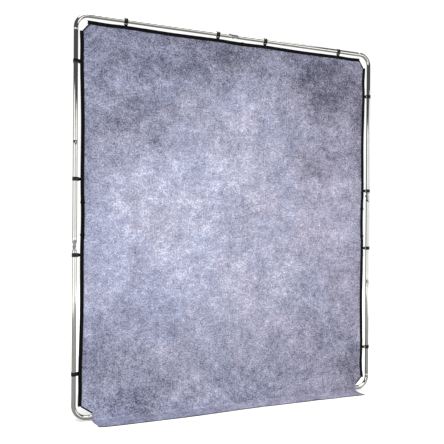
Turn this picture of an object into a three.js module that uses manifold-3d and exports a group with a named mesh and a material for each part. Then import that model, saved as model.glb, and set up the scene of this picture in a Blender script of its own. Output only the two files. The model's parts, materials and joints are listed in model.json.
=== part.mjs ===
// Free-standing background support: a folding frame of round aluminium tube that holds a cloth
// background, on two swing-out feet. Millimetres, +Z up, the cloth faces -Y.
import * as THREE from "three";
import { mergeVertices } from "three/addons/utils/BufferGeometryUtils.js";
import Module from "manifold-3d";

const wasm = await Module();
wasm.setup();

// ---- driving dimensions -------------------------------------------------------------------
const FRAME_WIDTH = 1975; // between the side tubes' centre lines
const FRAME_HEIGHT = 2275; // between the top and bottom tubes' centre lines
const TUBE_OD = 25;
const TUBE_WALL = 1.5;
const BEND_RADIUS = 72; // corner bend, on the tube's centre line
const SEAM_REACH = 88; // from a corner's point to the end of its bent tube
const SIDE_HINGE_REACH = 968; // from a side's bent corner to its hinge
const FOLD_LINE_X = -22; // where the top and bottom rails fold
const SLIP_REACH = 710; // from a side's straight corner to its slip joint
const FIT_GAP = 0.3; // between pieces that touch
const TUBE_SIDES = 20;
const PART_SIDES = 16; // round pieces smaller than the tubes
const PIN_SIDES = 12;
const BEND_STEPS = 6;

const HINGE_GAP = 46; // between the tube ends at a hinge
const HINGE_AXIS_BACK = 14; // from the tubes' centre plane back to the hinge axis
const KNUCKLE_THICK = 16;
const KNUCKLE_FRONT = 9.5;
const KNUCKLE_BACK = 8;
const EYE_RADIUS = 5;
const TONGUE_THICK = 5.6;
const PIN_RADIUS = 2.3;
const PLUG_LENGTH = 24;
const FLANGE_TAPER = 6;
const PIN_HEAD_HEIGHT = 1.5;
const PIN_HEAD_PROUD = 1.6; // past the shank, all round

const SPIGOT_WALL = 1.5;
const SPIGOT_FREE = 45; // length of a spigot that slides into the next tube
const SLIP_SEATED = 45; // length of a slip spigot that stays in its own tube
const BUTTON_RADIUS = 3.4;
const BUTTON_PROUD = 2;
const BUTTON_BACK = 20; // from a corner seam to its button
const SLIP_BUTTON_BACK = 14;
const LEAF_LENGTH = 24;
const LEAF_WIDTH = 0.32 * TUBE_OD;
const LEAF_THICK = 1;

const CLIP_LENGTH = 22; // along the tube
const CLIP_WALL = 2.5;
const CLIP_PIVOT_REACH = 20; // from the tube's centre line in to the clip's pivot
const CLIP_PIVOT_RADIUS = 4;
const CLIP_LIP_ANGLE = 10; // degrees that the lip reaches round behind the tube
const CLIP_ROOT_ANGLE = 25; // degrees from the inward axis to where the hook leaves its knuckle
const LEFT_CLIPS = [0.767, 0.185, -0.191, -0.779]; // shares of half the height, from the middle
const RIGHT_CLIPS = [0.751, 0.181, -0.164, -0.76];
const TOP_CLIPS = [-0.713, -0.132, 0.195, 0.749]; // shares of half the width, from the middle

const COVER_INSET = 28; // from the tubes' centre lines in to the edge of the cover
const COVER_THICK = 3;
const EDGING_WIDTH = 22;
const TOP_CUT_IN = 76; // the top edging stops this far in from the corner's point
const SIDE_CUT_DOWN = 90; // the side edging stops this far below it
const FOOT_CUT_IN = 102; // the same two at the bottom corners
const SIDE_CUT_UP = 70;
const FOOT_CUT_UP = 25;
const SKIRT_LEAVES = 150; // height where the cloth starts to come forward
const SKIRT_FORWARD = 20; // how far in front of the tubes it hangs
const SKIRT_BEND = 18;
const SKIRT_REACH = 150; // from the tubes' centre plane to the skirt's front edge
const SKIRT_DROOP = 28; // last stretch, which comes down to the floor

const FOOT_X = 520; // each foot, from the middle
const FOOT_BAR_WIDTH = 30;
const FOOT_BAR_THICK = 3;
const FOOT_PIVOT_BACK = 28;
const TOE_REACH = 110; // in front of the tubes' centre plane
const HEEL_REACH = 350; // behind it
const CAP_WALL = 1;
const CAP_LENGTH = 26;
const CLAMP_WALL = 2;
const CLAMP_LENGTH = 34;
const CLAMP_BOSS_RADIUS = 11;
const CLAMP_BOSS_HEIGHT = 22;
const CLAMP_PAD_HEIGHT = 6;
const PIVOT_RADIUS = 4;
const KNOB_RADIUS = 11;
const KNOB_HEIGHT = 10;
const KNOB_SHANK_RADIUS = 3;
const KNOB_LOBES = 5;
const KNOB_LOBE_DEPTH = 1.2;
const PIVOT_HEAD_PROUD = 3;
const PIVOT_HEAD_HEIGHT = 4;

// ---- sizes that follow --------------------------------------------------------------------
const TUBE_R = TUBE_OD / 2;
const BORE_R = TUBE_R - TUBE_WALL;
const SPIGOT_R = BORE_R - FIT_GAP;
const BAR_LOW = CAP_WALL;
const BAR_TOP = BAR_LOW + FOOT_BAR_THICK;
const BOTTOM_Z = BAR_TOP + FIT_GAP + CLAMP_WALL + FIT_GAP + TUBE_R;
const TOP_Z = BOTTOM_Z + FRAME_HEIGHT;
const HALF_HEIGHT = FRAME_HEIGHT / 2;
const MIDDLE_Z = BOTTOM_Z + HALF_HEIGHT;
const SIDE_X = FRAME_WIDTH / 2;
const CAP_TOP = BAR_TOP + FIT_GAP + CAP_WALL;
const SKIRT_FLAT_Z = CAP_TOP + 4 * FIT_GAP + COVER_THICK / 2;
const UP = new THREE.Vector3(0, 0, 1);
const BACK = new THREE.Vector3(0, 1, 0);

const MATERIALS = {
  tube: new THREE.MeshStandardMaterial({ color: 0xc9cbcc, roughness: 0.22, metalness: 1 }),
  knuckle: new THREE.MeshStandardMaterial({ color: 0xaeb0b1, roughness: 0.42, metalness: 1 }),
  steel: new THREE.MeshStandardMaterial({ color: 0x8f9194, roughness: 0.35, metalness: 1 }),
  clip: new THREE.MeshStandardMaterial({ color: 0x121213, roughness: 0.3, metalness: 0 }),
  cloth: new THREE.MeshStandardMaterial({ color: 0x9c9eb9, roughness: 0.9, metalness: 0 }),
  foot: new THREE.MeshStandardMaterial({ color: 0x232426, roughness: 0.55, metalness: 0.4 }),
  knob: new THREE.MeshStandardMaterial({ color: 0x17181a, roughness: 0.6, metalness: 0 }),
  rubber: new THREE.MeshStandardMaterial({ color: 0x1b1b1c, roughness: 0.85, metalness: 0 }),
};

// ---- solids -------------------------------------------------------------------------------

// A closed geometry as a solid that can be cut and joined.
function solid(geometry) {
  const bare = geometry.clone();
  bare.deleteAttribute("normal");
  bare.deleteAttribute("uv");
  const merged = mergeVertices(bare, 1e-4);
  return new wasm.Manifold(
    new wasm.Mesh({
      numProp: 3,
      vertProperties: new Float32Array(merged.attributes.position.array),
      triVerts: new Uint32Array(merged.index.array),
    }),
  );
}

function geometryOf(manifold) {
  const mesh = manifold.getMesh();
  const geometry = new THREE.BufferGeometry();
  geometry.setAttribute("position", new THREE.BufferAttribute(mesh.vertProperties, 3));
  geometry.setIndex(new THREE.BufferAttribute(mesh.triVerts, 1));
  geometry.computeVertexNormals();
  return geometry;
}

function box(x, y, z) {
  const low = [x[0], y[0], z[0]];
  const size = [x[1] - x[0], y[1] - y[0], z[1] - z[0]];
  const geometry = new THREE.BoxGeometry(...size);
  return geometry.translate(...low.map((value, i) => value + size[i] / 2));
}

// A round bar along one axis, between two places on it.
function rod(axis, radius, from, to, centre = [0, 0, 0], sides = TUBE_SIDES) {
  const geometry = new THREE.CylinderGeometry(radius, radius, to - from, sides);
  if (axis === "x") geometry.rotateZ(-Math.PI / 2);
  if (axis === "z") geometry.rotateX(Math.PI / 2);
  const middle = (from + to) / 2;
  const place = { x: [middle, 0, 0], y: [0, middle, 0], z: [0, 0, middle] }[axis];
  return geometry.translate(...place.map((value, i) => value + centre[i]));
}

function circle(radius) {
  return new THREE.Path().absarc(0, 0, radius, 0, 2 * Math.PI);
}

function ring(outer, inner) {
  const shape = new THREE.Shape().absarc(0, 0, outer, 0, 2 * Math.PI);
  shape.holes.push(circle(inner));
  return shape;
}

function extrude(shape, depth, segments = 8) {
  return new THREE.ExtrudeGeometry(shape, { depth, bevelEnabled: false, curveSegments: segments });
}

// A path with its own stations, so that a bend has steps and a straight stretch has none.
class StationPath extends THREE.Curve {
  constructor(points, tangents) {
    super();
    this.points = points;
    this.tangents = tangents;
  }
  getPointAt(u) {
    return this.points[Math.round(u * (this.points.length - 1))].clone();
  }
  getPoint(u) {
    return this.getPointAt(u);
  }
  getTangentAt(u) {
    return this.tangents[Math.round(u * (this.points.length - 1))].clone();
  }
}

// ---- placing ------------------------------------------------------------------------------
const model = new THREE.Group();

function add(name, geometry, material, position, basis) {
  const mesh = new THREE.Mesh(geometry, material);
  mesh.name = name;
  if (basis) mesh.quaternion.setFromRotationMatrix(new THREE.Matrix4().makeBasis(...basis));
  if (position) mesh.position.copy(position);
  model.add(mesh);
}

// The four rails run round the frame: each starts at its own bent corner, turns along the rail,
// and ends at the next corner. `across` points from the first corner along the rail before it.
const corner = {
  bottomLeft: new THREE.Vector3(-SIDE_X, 0, BOTTOM_Z),
  topLeft: new THREE.Vector3(-SIDE_X, 0, TOP_Z),
  topRight: new THREE.Vector3(SIDE_X, 0, TOP_Z),
  bottomRight: new THREE.Vector3(SIDE_X, 0, BOTTOM_Z),
};
const side = { hinge: SIDE_HINGE_REACH, slip: SLIP_REACH };
const RAILS = [
  { name: "left", from: corner.bottomLeft, to: corner.topLeft, ...side },
  { name: "top", from: corner.topLeft, to: corner.topRight, hinge: SIDE_X + FOLD_LINE_X },
  { name: "right", from: corner.topRight, to: corner.bottomRight, ...side },
  { name: "bottom", from: corner.bottomRight, to: corner.bottomLeft, hinge: SIDE_X - FOLD_LINE_X },
];
for (const rail of RAILS) {
  rail.length = rail.from.distanceTo(rail.to);
  rail.along = rail.to.clone().sub(rail.from).normalize();
  rail.across = rail.along.clone().cross(BACK).negate();
}

function pointOn(rail, distance) {
  return rail.from.clone().addScaledVector(rail.along, distance);
}

// A basis whose first axis runs along the rail and whose second points to the back.
function railBasis(rail) {
  return [rail.along, BACK, rail.along.clone().cross(BACK)];
}

// ---- tubes --------------------------------------------------------------------------------

// The bent tube of a rail: a short leg, the corner bend, and a long leg that ends at the hinge.
function cornerTube(rail) {
  const bendCentre = rail.from
    .clone()
    .addScaledVector(rail.along, BEND_RADIUS)
    .addScaledVector(rail.across, BEND_RADIUS);
  const points = [rail.from.clone().addScaledVector(rail.across, SEAM_REACH)];
  const tangents = [rail.across.clone().negate()];
  for (let i = 0; i <= BEND_STEPS; i++) {
    const turn = (i / BEND_STEPS) * (Math.PI / 2);
    const radial = rail.along
      .clone()
      .multiplyScalar(-Math.cos(turn))
      .addScaledVector(rail.across, -Math.sin(turn));
    points.push(bendCentre.clone().addScaledVector(radial, BEND_RADIUS));
    tangents.push(
      rail.across
        .clone()
        .multiplyScalar(-Math.cos(turn))
        .addScaledVector(rail.along, Math.sin(turn)),
    );
  }
  points.push(pointOn(rail, rail.hinge - HINGE_GAP / 2));
  tangents.push(rail.along.clone());
  const path = new StationPath(points, tangents);
  const geometry = new THREE.ExtrudeGeometry(ring(TUBE_R, BORE_R), {
    extrudePath: path,
    steps: points.length - 1,
    curveSegments: TUBE_SIDES / 2,
  });
  add(rail.name + "_corner_tube", geometry, MATERIALS.tube);
}

// A straight tube along a rail, with holes for spring buttons at given distances from its start.
function straightTube(name, rail, start, end, holes = []) {
  let tube = solid(extrude(ring(TUBE_R, BORE_R), end - start, TUBE_SIDES / 2).rotateY(Math.PI / 2));
  for (const hole of holes) {
    const reach = hole.front ? [-TUBE_R - 1, 0] : [0, TUBE_R + 1];
    const drill = rod("y", BUTTON_RADIUS + FIT_GAP, ...reach, [hole.at - start, 0, 0], PIN_SIDES);
    tube = tube.subtract(solid(drill));
  }
  add(name, geometryOf(tube), MATERIALS.tube, pointOn(rail, start), railBasis(rail));
}

function straightTubes(rail) {
  const start = rail.hinge + HINGE_GAP / 2;
  const end = rail.length - SEAM_REACH - FIT_GAP;
  const cornerHole = { at: end - BUTTON_BACK, front: false };
  if (!rail.slip) {
    straightTube(rail.name + "_straight_tube", rail, start, end, [cornerHole]);
    return;
  }
  const slip = rail.length - rail.slip;
  const slipHole = { at: slip - SLIP_BUTTON_BACK, front: true };
  straightTube(rail.name + "_inner_tube", rail, start, slip - FIT_GAP, [slipHole]);
  straightTube(rail.name + "_outer_tube", rail, slip, end, [cornerHole]);
}

// A spigot joins two tube ends. Its spring button locks it in the tube that slides over it.
function spigot(name, rail, start, end, button) {
  const tube = solid(
    extrude(ring(SPIGOT_R, SPIGOT_R - SPIGOT_WALL), end - start, PART_SIDES / 2).rotateY(Math.PI / 2),
  );
  const reach = button.front ? [-TUBE_R, 0] : [0, TUBE_R];
  const drill = rod("y", BUTTON_RADIUS + FIT_GAP, ...reach, [button.at - start, 0, 0], PIN_SIDES);
  add(
    name + "_spigot",
    geometryOf(tube.subtract(solid(drill))),
    MATERIALS.tube,
    pointOn(rail, start),
    railBasis(rail),
  );
  springButton(name + "_button", rail, button);
}

// A round button on a leaf spring that lies inside the spigot.
function springButton(name, rail, button) {
  const leafOut = SPIGOT_R - SPIGOT_WALL - LEAF_THICK - FIT_GAP;
  const leafIn = leafOut - LEAF_THICK;
  const long = [-LEAF_LENGTH / 2, LEAF_LENGTH / 2];
  const leaf = box(long, [leafIn, leafOut], [-LEAF_WIDTH / 2, LEAF_WIDTH / 2]);
  const headBase = (leafIn + leafOut) / 2;
  const head = rod("y", BUTTON_RADIUS, headBase, TUBE_R + BUTTON_PROUD, [0, 0, 0], PIN_SIDES);
  let piece = geometryOf(solid(leaf).add(solid(head)));
  if (button.front) piece = piece.rotateX(Math.PI);
  add(name, piece, MATERIALS.steel, pointOn(rail, button.at), railBasis(rail));
}

function spigots(rail) {
  const seam = rail.length - SEAM_REACH;
  const seated = SEAM_REACH - BEND_RADIUS - 2;
  const cornerButton = { at: seam - FIT_GAP - BUTTON_BACK, front: false };
  spigot(rail.name + "_corner", rail, seam - SPIGOT_FREE, seam + seated, cornerButton);
  if (!rail.slip) return;
  const slip = rail.length - rail.slip;
  const slipButton = { at: slip - SLIP_BUTTON_BACK, front: true };
  spigot(rail.name + "_slip", rail, slip - SPIGOT_FREE, slip + SLIP_SEATED, slipButton);
}

// ---- hinges -------------------------------------------------------------------------------

// Half of a hinge, on the side of the corner tube: a plug in the tube, a domed flange against its
// end, and a square knuckle. The eyes that hold the pin stand behind the tubes.
function knuckle(eyes) {
  const half = HINGE_GAP / 2;
  const profile = [
    [0, -half - PLUG_LENGTH],
    [SPIGOT_R, -half - PLUG_LENGTH],
    [SPIGOT_R, -half + FIT_GAP],
    [TUBE_R - FIT_GAP, -half + FIT_GAP],
    [TUBE_R - 1, -half + FLANGE_TAPER / 2],
    [KNUCKLE_THICK / 2, -half + FLANGE_TAPER],
    [0, -half + FLANGE_TAPER],
  ].map(([radius, height]) => new THREE.Vector2(radius, height));
  const plug = new THREE.LatheGeometry(profile, PART_SIDES).rotateZ(-Math.PI / 2);
  const body = box(
    [-half + 1, -2 * FIT_GAP],
    [-KNUCKLE_FRONT, KNUCKLE_BACK],
    [-KNUCKLE_THICK / 2, KNUCKLE_THICK / 2],
  );
  const outline = new THREE.Shape();
  outline.moveTo(-KNUCKLE_THICK, KNUCKLE_BACK - 1);
  outline.lineTo(-3, KNUCKLE_BACK - 1);
  outline.lineTo(0, HINGE_AXIS_BACK - EYE_RADIUS);
  outline.absarc(0, HINGE_AXIS_BACK, EYE_RADIUS, -Math.PI / 2, Math.PI * 0.64);
  outline.closePath();
  let piece = solid(plug).add(solid(body));
  for (const [low, high] of eyes)
    piece = piece.add(solid(extrude(outline, high - low, 5).translate(0, 0, low)));
  const pinPlace = [0, HINGE_AXIS_BACK, 0];
  const pinHole = rod("z", PIN_RADIUS + FIT_GAP, -KNUCKLE_THICK, KNUCKLE_THICK, pinPlace, PIN_SIDES);
  return piece.subtract(solid(pinHole));
}

function hingePin() {
  const end = KNUCKLE_THICK / 2 + FIT_GAP;
  const head = end + PIN_HEAD_HEIGHT;
  const headRadius = PIN_RADIUS + PIN_HEAD_PROUD;
  const topRadius = PIN_RADIUS + PIN_HEAD_PROUD / 2;
  const profile = [
    [0, -head],
    [topRadius, -head],
    [headRadius, -end],
    [PIN_RADIUS, -end],
    [PIN_RADIUS, end],
    [headRadius, end],
    [topRadius, head],
    [0, head],
  ].map(([radius, height]) => new THREE.Vector2(radius, height));
  return new THREE.LatheGeometry(profile, PIN_SIDES).rotateX(Math.PI / 2).translate(0, HINGE_AXIS_BACK, 0);
}

function hinge(rail) {
  const place = pointOn(rail, rail.hinge);
  const basis = railBasis(rail);
  const edge = KNUCKLE_THICK / 2;
  const inner = TONGUE_THICK / 2 + FIT_GAP;
  const fork = knuckle([
    [-edge, -inner],
    [inner, edge],
  ]);
  const tongue = knuckle([[-TONGUE_THICK / 2, TONGUE_THICK / 2]]);
  const turned = [basis[0].clone().negate(), basis[1], basis[2].clone().negate()];
  add(rail.name + "_hinge_fork", geometryOf(fork), MATERIALS.knuckle, place, basis);
  add(rail.name + "_hinge_tongue", geometryOf(tongue), MATERIALS.knuckle, place, turned);
  add(rail.name + "_hinge_pin", hingePin(), MATERIALS.steel, place, basis);
}

// ---- clips --------------------------------------------------------------------------------

// The clip's section: a hook over the front and the outer side of the tube, and a round knuckle
// that turns in the cover's elastic tab. First axis in towards the cover, second to the front.
function clipSection() {
  const inner = TUBE_R + FIT_GAP;
  const outer = inner + CLIP_WALL;
  const lip = THREE.MathUtils.degToRad(180 + CLIP_LIP_ANGLE);
  const root = THREE.MathUtils.degToRad(CLIP_ROOT_ANGLE);
  const shape = new THREE.Shape();
  shape.moveTo(inner * Math.cos(root), inner * Math.sin(root));
  shape.absarc(0, 0, inner, root, lip, false);
  shape.absarc(0, 0, outer, lip, root * 2, true);
  shape.lineTo(CLIP_PIVOT_REACH, CLIP_PIVOT_RADIUS);
  shape.absarc(CLIP_PIVOT_REACH, 0, CLIP_PIVOT_RADIUS, Math.PI / 2, -Math.PI * 0.95, true);
  shape.closePath();
  return shape;
}

function clip(name, centre, inward) {
  const front = BACK.clone().negate();
  const along = inward.clone().cross(front);
  const geometry = extrude(clipSection(), CLIP_LENGTH, 6).translate(0, 0, -CLIP_LENGTH / 2);
  add(name, geometry, MATERIALS.clip, centre, [inward, front, along]);
}

function clipHeight(share) {
  return MIDDLE_Z + share * HALF_HEIGHT;
}

function clips() {
  const right = new THREE.Vector3(1, 0, 0);
  const left = right.clone().negate();
  const down = UP.clone().negate();
  LEFT_CLIPS.forEach((share, i) => {
    clip("left_clip_" + (i + 1), new THREE.Vector3(-SIDE_X, 0, clipHeight(share)), right);
  });
  RIGHT_CLIPS.forEach((share, i) => {
    clip("right_clip_" + (i + 1), new THREE.Vector3(SIDE_X, 0, clipHeight(share)), left);
  });
  TOP_CLIPS.forEach((share, i) => {
    clip("top_clip_" + (i + 1), new THREE.Vector3(share * SIDE_X, 0, TOP_Z), down);
  });
}

// ---- cover --------------------------------------------------------------------------------

// The sheet's section from the top edge down, in front of the bottom tube and out over the floor,
// as its middle line: [forward, height].
function sheetLine() {
  const line = [[0, TOP_Z - COVER_INSET]];
  const hangEnd = SKIRT_FLAT_Z + SKIRT_BEND;
  const steps = 6;
  for (let i = 0; i <= steps; i++) {
    const part = i / steps;
    const ease = part * part * (3 - 2 * part);
    line.push([SKIRT_FORWARD * ease, SKIRT_LEAVES + (hangEnd - SKIRT_LEAVES) * part]);
  }
  for (let i = 1; i <= steps; i++) {
    const turn = (i / steps) * (Math.PI / 2);
    line.push([
      SKIRT_FORWARD + SKIRT_BEND * (1 - Math.cos(turn)),
      SKIRT_FLAT_Z + SKIRT_BEND * (1 - Math.sin(turn)),
    ]);
  }
  line.push([SKIRT_REACH - SKIRT_DROOP, SKIRT_FLAT_Z]);
  line.push([SKIRT_REACH - COVER_THICK / 2, COVER_THICK / 2 + 2 * FIT_GAP]);
  return line;
}

// The line thickened to both sides, as the points of a closed outline.
function sheetPoints() {
  const line = sheetLine().map(([forward, height]) => new THREE.Vector2(forward, height));
  const sides = [[], []];
  line.forEach((point, i) => {
    const before = line[Math.max(i - 1, 0)];
    const after = line[Math.min(i + 1, line.length - 1)];
    const ahead = after.clone().sub(before).normalize();
    const normal = new THREE.Vector2(-ahead.y, ahead.x).multiplyScalar(COVER_THICK / 2);
    sides[0].push(point.clone().add(normal));
    sides[1].unshift(point.clone().sub(normal));
  });
  return [...sides[0], ...sides[1]];
}

// The cover's outline from the front, with its four cut corners.
function coverFront() {
  const edge = SIDE_X - COVER_INSET;
  const inner = edge - EDGING_WIDTH;
  const topX = SIDE_X - TOP_CUT_IN;
  const footX = SIDE_X - FOOT_CUT_IN;
  const topZ = TOP_Z - COVER_INSET;
  const halfRight = [
    [footX, -1],
    [footX, BOTTOM_Z + FOOT_CUT_UP],
    [inner, BOTTOM_Z + SIDE_CUT_UP],
    [edge, BOTTOM_Z + SIDE_CUT_UP],
    [edge, TOP_Z - SIDE_CUT_DOWN],
    [inner, TOP_Z - SIDE_CUT_DOWN],
    [topX, topZ - EDGING_WIDTH],
    [topX, topZ + 1],
  ];
  const halfLeft = halfRight.map(([x, z]) => [-x, z]).reverse();
  return new THREE.Shape([...halfRight, ...halfLeft].map(([x, z]) => new THREE.Vector2(x, z)));
}

// The short tabs that reach from the cover's edge to the clips.
function coverTabs() {
  const start = CLIP_PIVOT_REACH + CLIP_PIVOT_RADIUS + FIT_GAP;
  const half = CLIP_LENGTH / 2;
  const deep = [-COVER_THICK / 2, COVER_THICK / 2];
  const end = COVER_INSET + 5;
  const span = (centre) => [centre - half, centre + half];
  return [
    ...LEFT_CLIPS.map((z) => box([-SIDE_X + start, -SIDE_X + end], deep, span(clipHeight(z)))),
    ...RIGHT_CLIPS.map((z) => box([SIDE_X - end, SIDE_X - start], deep, span(clipHeight(z)))),
    ...TOP_CLIPS.map((x) => box(span(x * SIDE_X), deep, [TOP_Z - end, TOP_Z - start])),
  ];
}

// The cover is one cloth. It is held here as two halves that meet at the fold line.
function cover() {
  const sweep = extrude(new THREE.Shape(sheetPoints()), FRAME_WIDTH)
    .applyMatrix4(new THREE.Matrix4().makeBasis(BACK.clone().negate(), UP, new THREE.Vector3(-1, 0, 0)))
    .translate(SIDE_X, 0, 0);
  const front = extrude(coverFront(), 2 * SKIRT_REACH)
    .rotateX(Math.PI / 2)
    .translate(0, SKIRT_REACH, 0);
  let sheet = solid(sweep).intersect(solid(front));
  for (const tab of coverTabs()) sheet = sheet.add(solid(tab));
  const deep = [-2 * SKIRT_REACH, SKIRT_REACH];
  const tall = [-1, TOP_Z];
  const leftSide = box([-FRAME_WIDTH, FOLD_LINE_X - FIT_GAP / 2], deep, tall);
  const rightSide = box([FOLD_LINE_X + FIT_GAP / 2, FRAME_WIDTH], deep, tall);
  add("cover_left", geometryOf(sheet.intersect(solid(leftSide))), MATERIALS.cloth);
  add("cover_right", geometryOf(sheet.intersect(solid(rightSide))), MATERIALS.cloth);
}

// ---- feet ---------------------------------------------------------------------------------

// A ring round the bottom tube with a boss behind it for the foot's pivot.
function footClamp() {
  const ringRadius = TUBE_R + FIT_GAP + CLAMP_WALL;
  const half = CLAMP_LENGTH / 2;
  const low = BAR_TOP + FIT_GAP;
  const padTop = BOTTOM_Z + ringRadius + CLAMP_PAD_HEIGHT;
  const centre = [0, 0, BOTTOM_Z];
  const bossTop = low + CLAMP_BOSS_HEIGHT;
  const sleeve = rod("x", ringRadius, -half, half, centre);
  const pad = box([-half + 6, half - 6], [-8, 8], [BOTTOM_Z, padTop]);
  const boss = rod("z", CLAMP_BOSS_RADIUS, low, bossTop, [0, FOOT_PIVOT_BACK, 0], PART_SIDES);
  const web = box([-half + 8, half - 8], [TUBE_R - 4, FOOT_PIVOT_BACK], [BOTTOM_Z - 8, bossTop - 3]);
  const bore = rod("x", TUBE_R + FIT_GAP, -half - 1, half + 1, centre);
  const pivotHole = rod("z", PIVOT_RADIUS + FIT_GAP, 0, bossTop + 1, [0, FOOT_PIVOT_BACK, 0], PIN_SIDES);
  const screwHole = rod("z", KNOB_SHANK_RADIUS + FIT_GAP, BOTTOM_Z, padTop + 1, [0, 0, 0], PIN_SIDES);
  return solid(sleeve)
    .add(solid(pad))
    .add(solid(web))
    .add(solid(boss))
    .subtract(solid(bore))
    .subtract(solid(pivotHole))
    .subtract(solid(screwHole));
}

function clampKnob() {
  const padTop = BOTTOM_Z + TUBE_R + FIT_GAP + CLAMP_WALL + CLAMP_PAD_HEIGHT;
  const tip = BOTTOM_Z + TUBE_R + FIT_GAP;
  const outline = new THREE.Shape();
  const points = KNOB_LOBES * 6;
  for (let i = 0; i < points; i++) {
    const angle = (i / points) * 2 * Math.PI;
    const radius = KNOB_RADIUS + KNOB_LOBE_DEPTH * (Math.cos(KNOB_LOBES * angle) - 1);
    const point = [radius * Math.cos(angle), radius * Math.sin(angle)];
    if (i === 0) outline.moveTo(...point);
    else outline.lineTo(...point);
  }
  outline.closePath();
  const head = extrude(outline, KNOB_HEIGHT).translate(0, 0, padTop + FIT_GAP);
  const shank = rod("z", KNOB_SHANK_RADIUS, tip, padTop + FIT_GAP + 1, [0, 0, 0], PIN_SIDES);
  return solid(head).add(solid(shank));
}

function footPivot() {
  const bossTop = BAR_TOP + FIT_GAP + CLAMP_BOSS_HEIGHT;
  const head = bossTop + FIT_GAP;
  const profile = [
    [0, BAR_LOW],
    [PIVOT_RADIUS, BAR_LOW],
    [PIVOT_RADIUS, head],
    [PIVOT_RADIUS + PIVOT_HEAD_PROUD, head],
    [PIVOT_RADIUS + PIVOT_HEAD_PROUD, head + PIVOT_HEAD_HEIGHT - 1],
    [PIVOT_RADIUS + PIVOT_HEAD_PROUD / 2, head + PIVOT_HEAD_HEIGHT],
    [0, head + PIVOT_HEAD_HEIGHT],
  ].map(([radius, height]) => new THREE.Vector2(radius, height));
  return new THREE.LatheGeometry(profile, PIN_SIDES).rotateX(Math.PI / 2);
}

// The bar's outline, with round ends and the pivot hole at the origin.
function barOutline(margin, from, to) {
  const half = FOOT_BAR_WIDTH / 2 + margin;
  const shape = new THREE.Shape();
  shape.absarc(0, to - FOOT_BAR_WIDTH / 2, half, 0, Math.PI);
  shape.absarc(0, from + FOOT_BAR_WIDTH / 2, half, Math.PI, 2 * Math.PI);
  shape.closePath();
  return shape;
}

const TOE = -TOE_REACH - FOOT_PIVOT_BACK;
const HEEL = HEEL_REACH - FOOT_PIVOT_BACK;

function footBar() {
  const outline = barOutline(0, TOE, HEEL);
  outline.holes.push(circle(PIVOT_RADIUS + FIT_GAP));
  return extrude(outline, FOOT_BAR_THICK, 6).translate(0, 0, BAR_LOW);
}

// A rubber sleeve over one end of the bar.
function footCap(atHeel) {
  const outer = extrude(barOutline(CAP_WALL + FIT_GAP, TOE, HEEL), CAP_TOP, 6);
  const pocketDepth = FOOT_BAR_THICK + FIT_GAP;
  const pocket = extrude(barOutline(FIT_GAP, TOE, HEEL), pocketDepth, 6).translate(0, 0, BAR_LOW);
  const far = 2 * (HEEL_REACH + TOE_REACH);
  const reach = atHeel ? [HEEL - CAP_LENGTH, far] : [-far, TOE + CAP_LENGTH];
  const end = box([-FOOT_BAR_WIDTH, FOOT_BAR_WIDTH], reach, [-1, CAP_TOP + 1]);
  return solid(outer).intersect(solid(end)).subtract(solid(pocket));
}

function foot(side, x) {
  const place = new THREE.Vector3(x, 0, 0);
  const pivot = new THREE.Vector3(x, FOOT_PIVOT_BACK, 0);
  add(side + "_foot_clamp", geometryOf(footClamp()), MATERIALS.foot, place);
  add(side + "_clamp_knob", geometryOf(clampKnob()), MATERIALS.knob, place);
  add(side + "_foot_pivot", footPivot(), MATERIALS.steel, pivot);
  add(side + "_foot_bar", footBar(), MATERIALS.foot, pivot);
  add(side + "_toe_cap", geometryOf(footCap(false)), MATERIALS.rubber, pivot);
  add(side + "_heel_cap", geometryOf(footCap(true)), MATERIALS.rubber, pivot);
}

// ---- the whole support --------------------------------------------------------------------
for (const rail of RAILS) {
  cornerTube(rail);
  straightTubes(rail);
  spigots(rail);
  hinge(rail);
}
clips();
cover();
foot("left", -FOOT_X);
foot("right", FOOT_X);

// The origin is on the floor, midway between the skirt's front edge and the heel caps' ends.
const skirtFront = Math.max(...sheetPoints().map((point) => point.x));
const heelEnd = HEEL_REACH + CAP_WALL + FIT_GAP;
model.position.y = (skirtFront - heelEnd) / 2;

export default model;
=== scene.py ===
"""Free-standing background support: a folding tube frame that stretches a printed cloth.

The file is laid out as an add-on: sizes and colours are properties, each group of pieces has an
operator, and a panel lists the operators. Run as a script, it makes every piece in order.
"""

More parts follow.
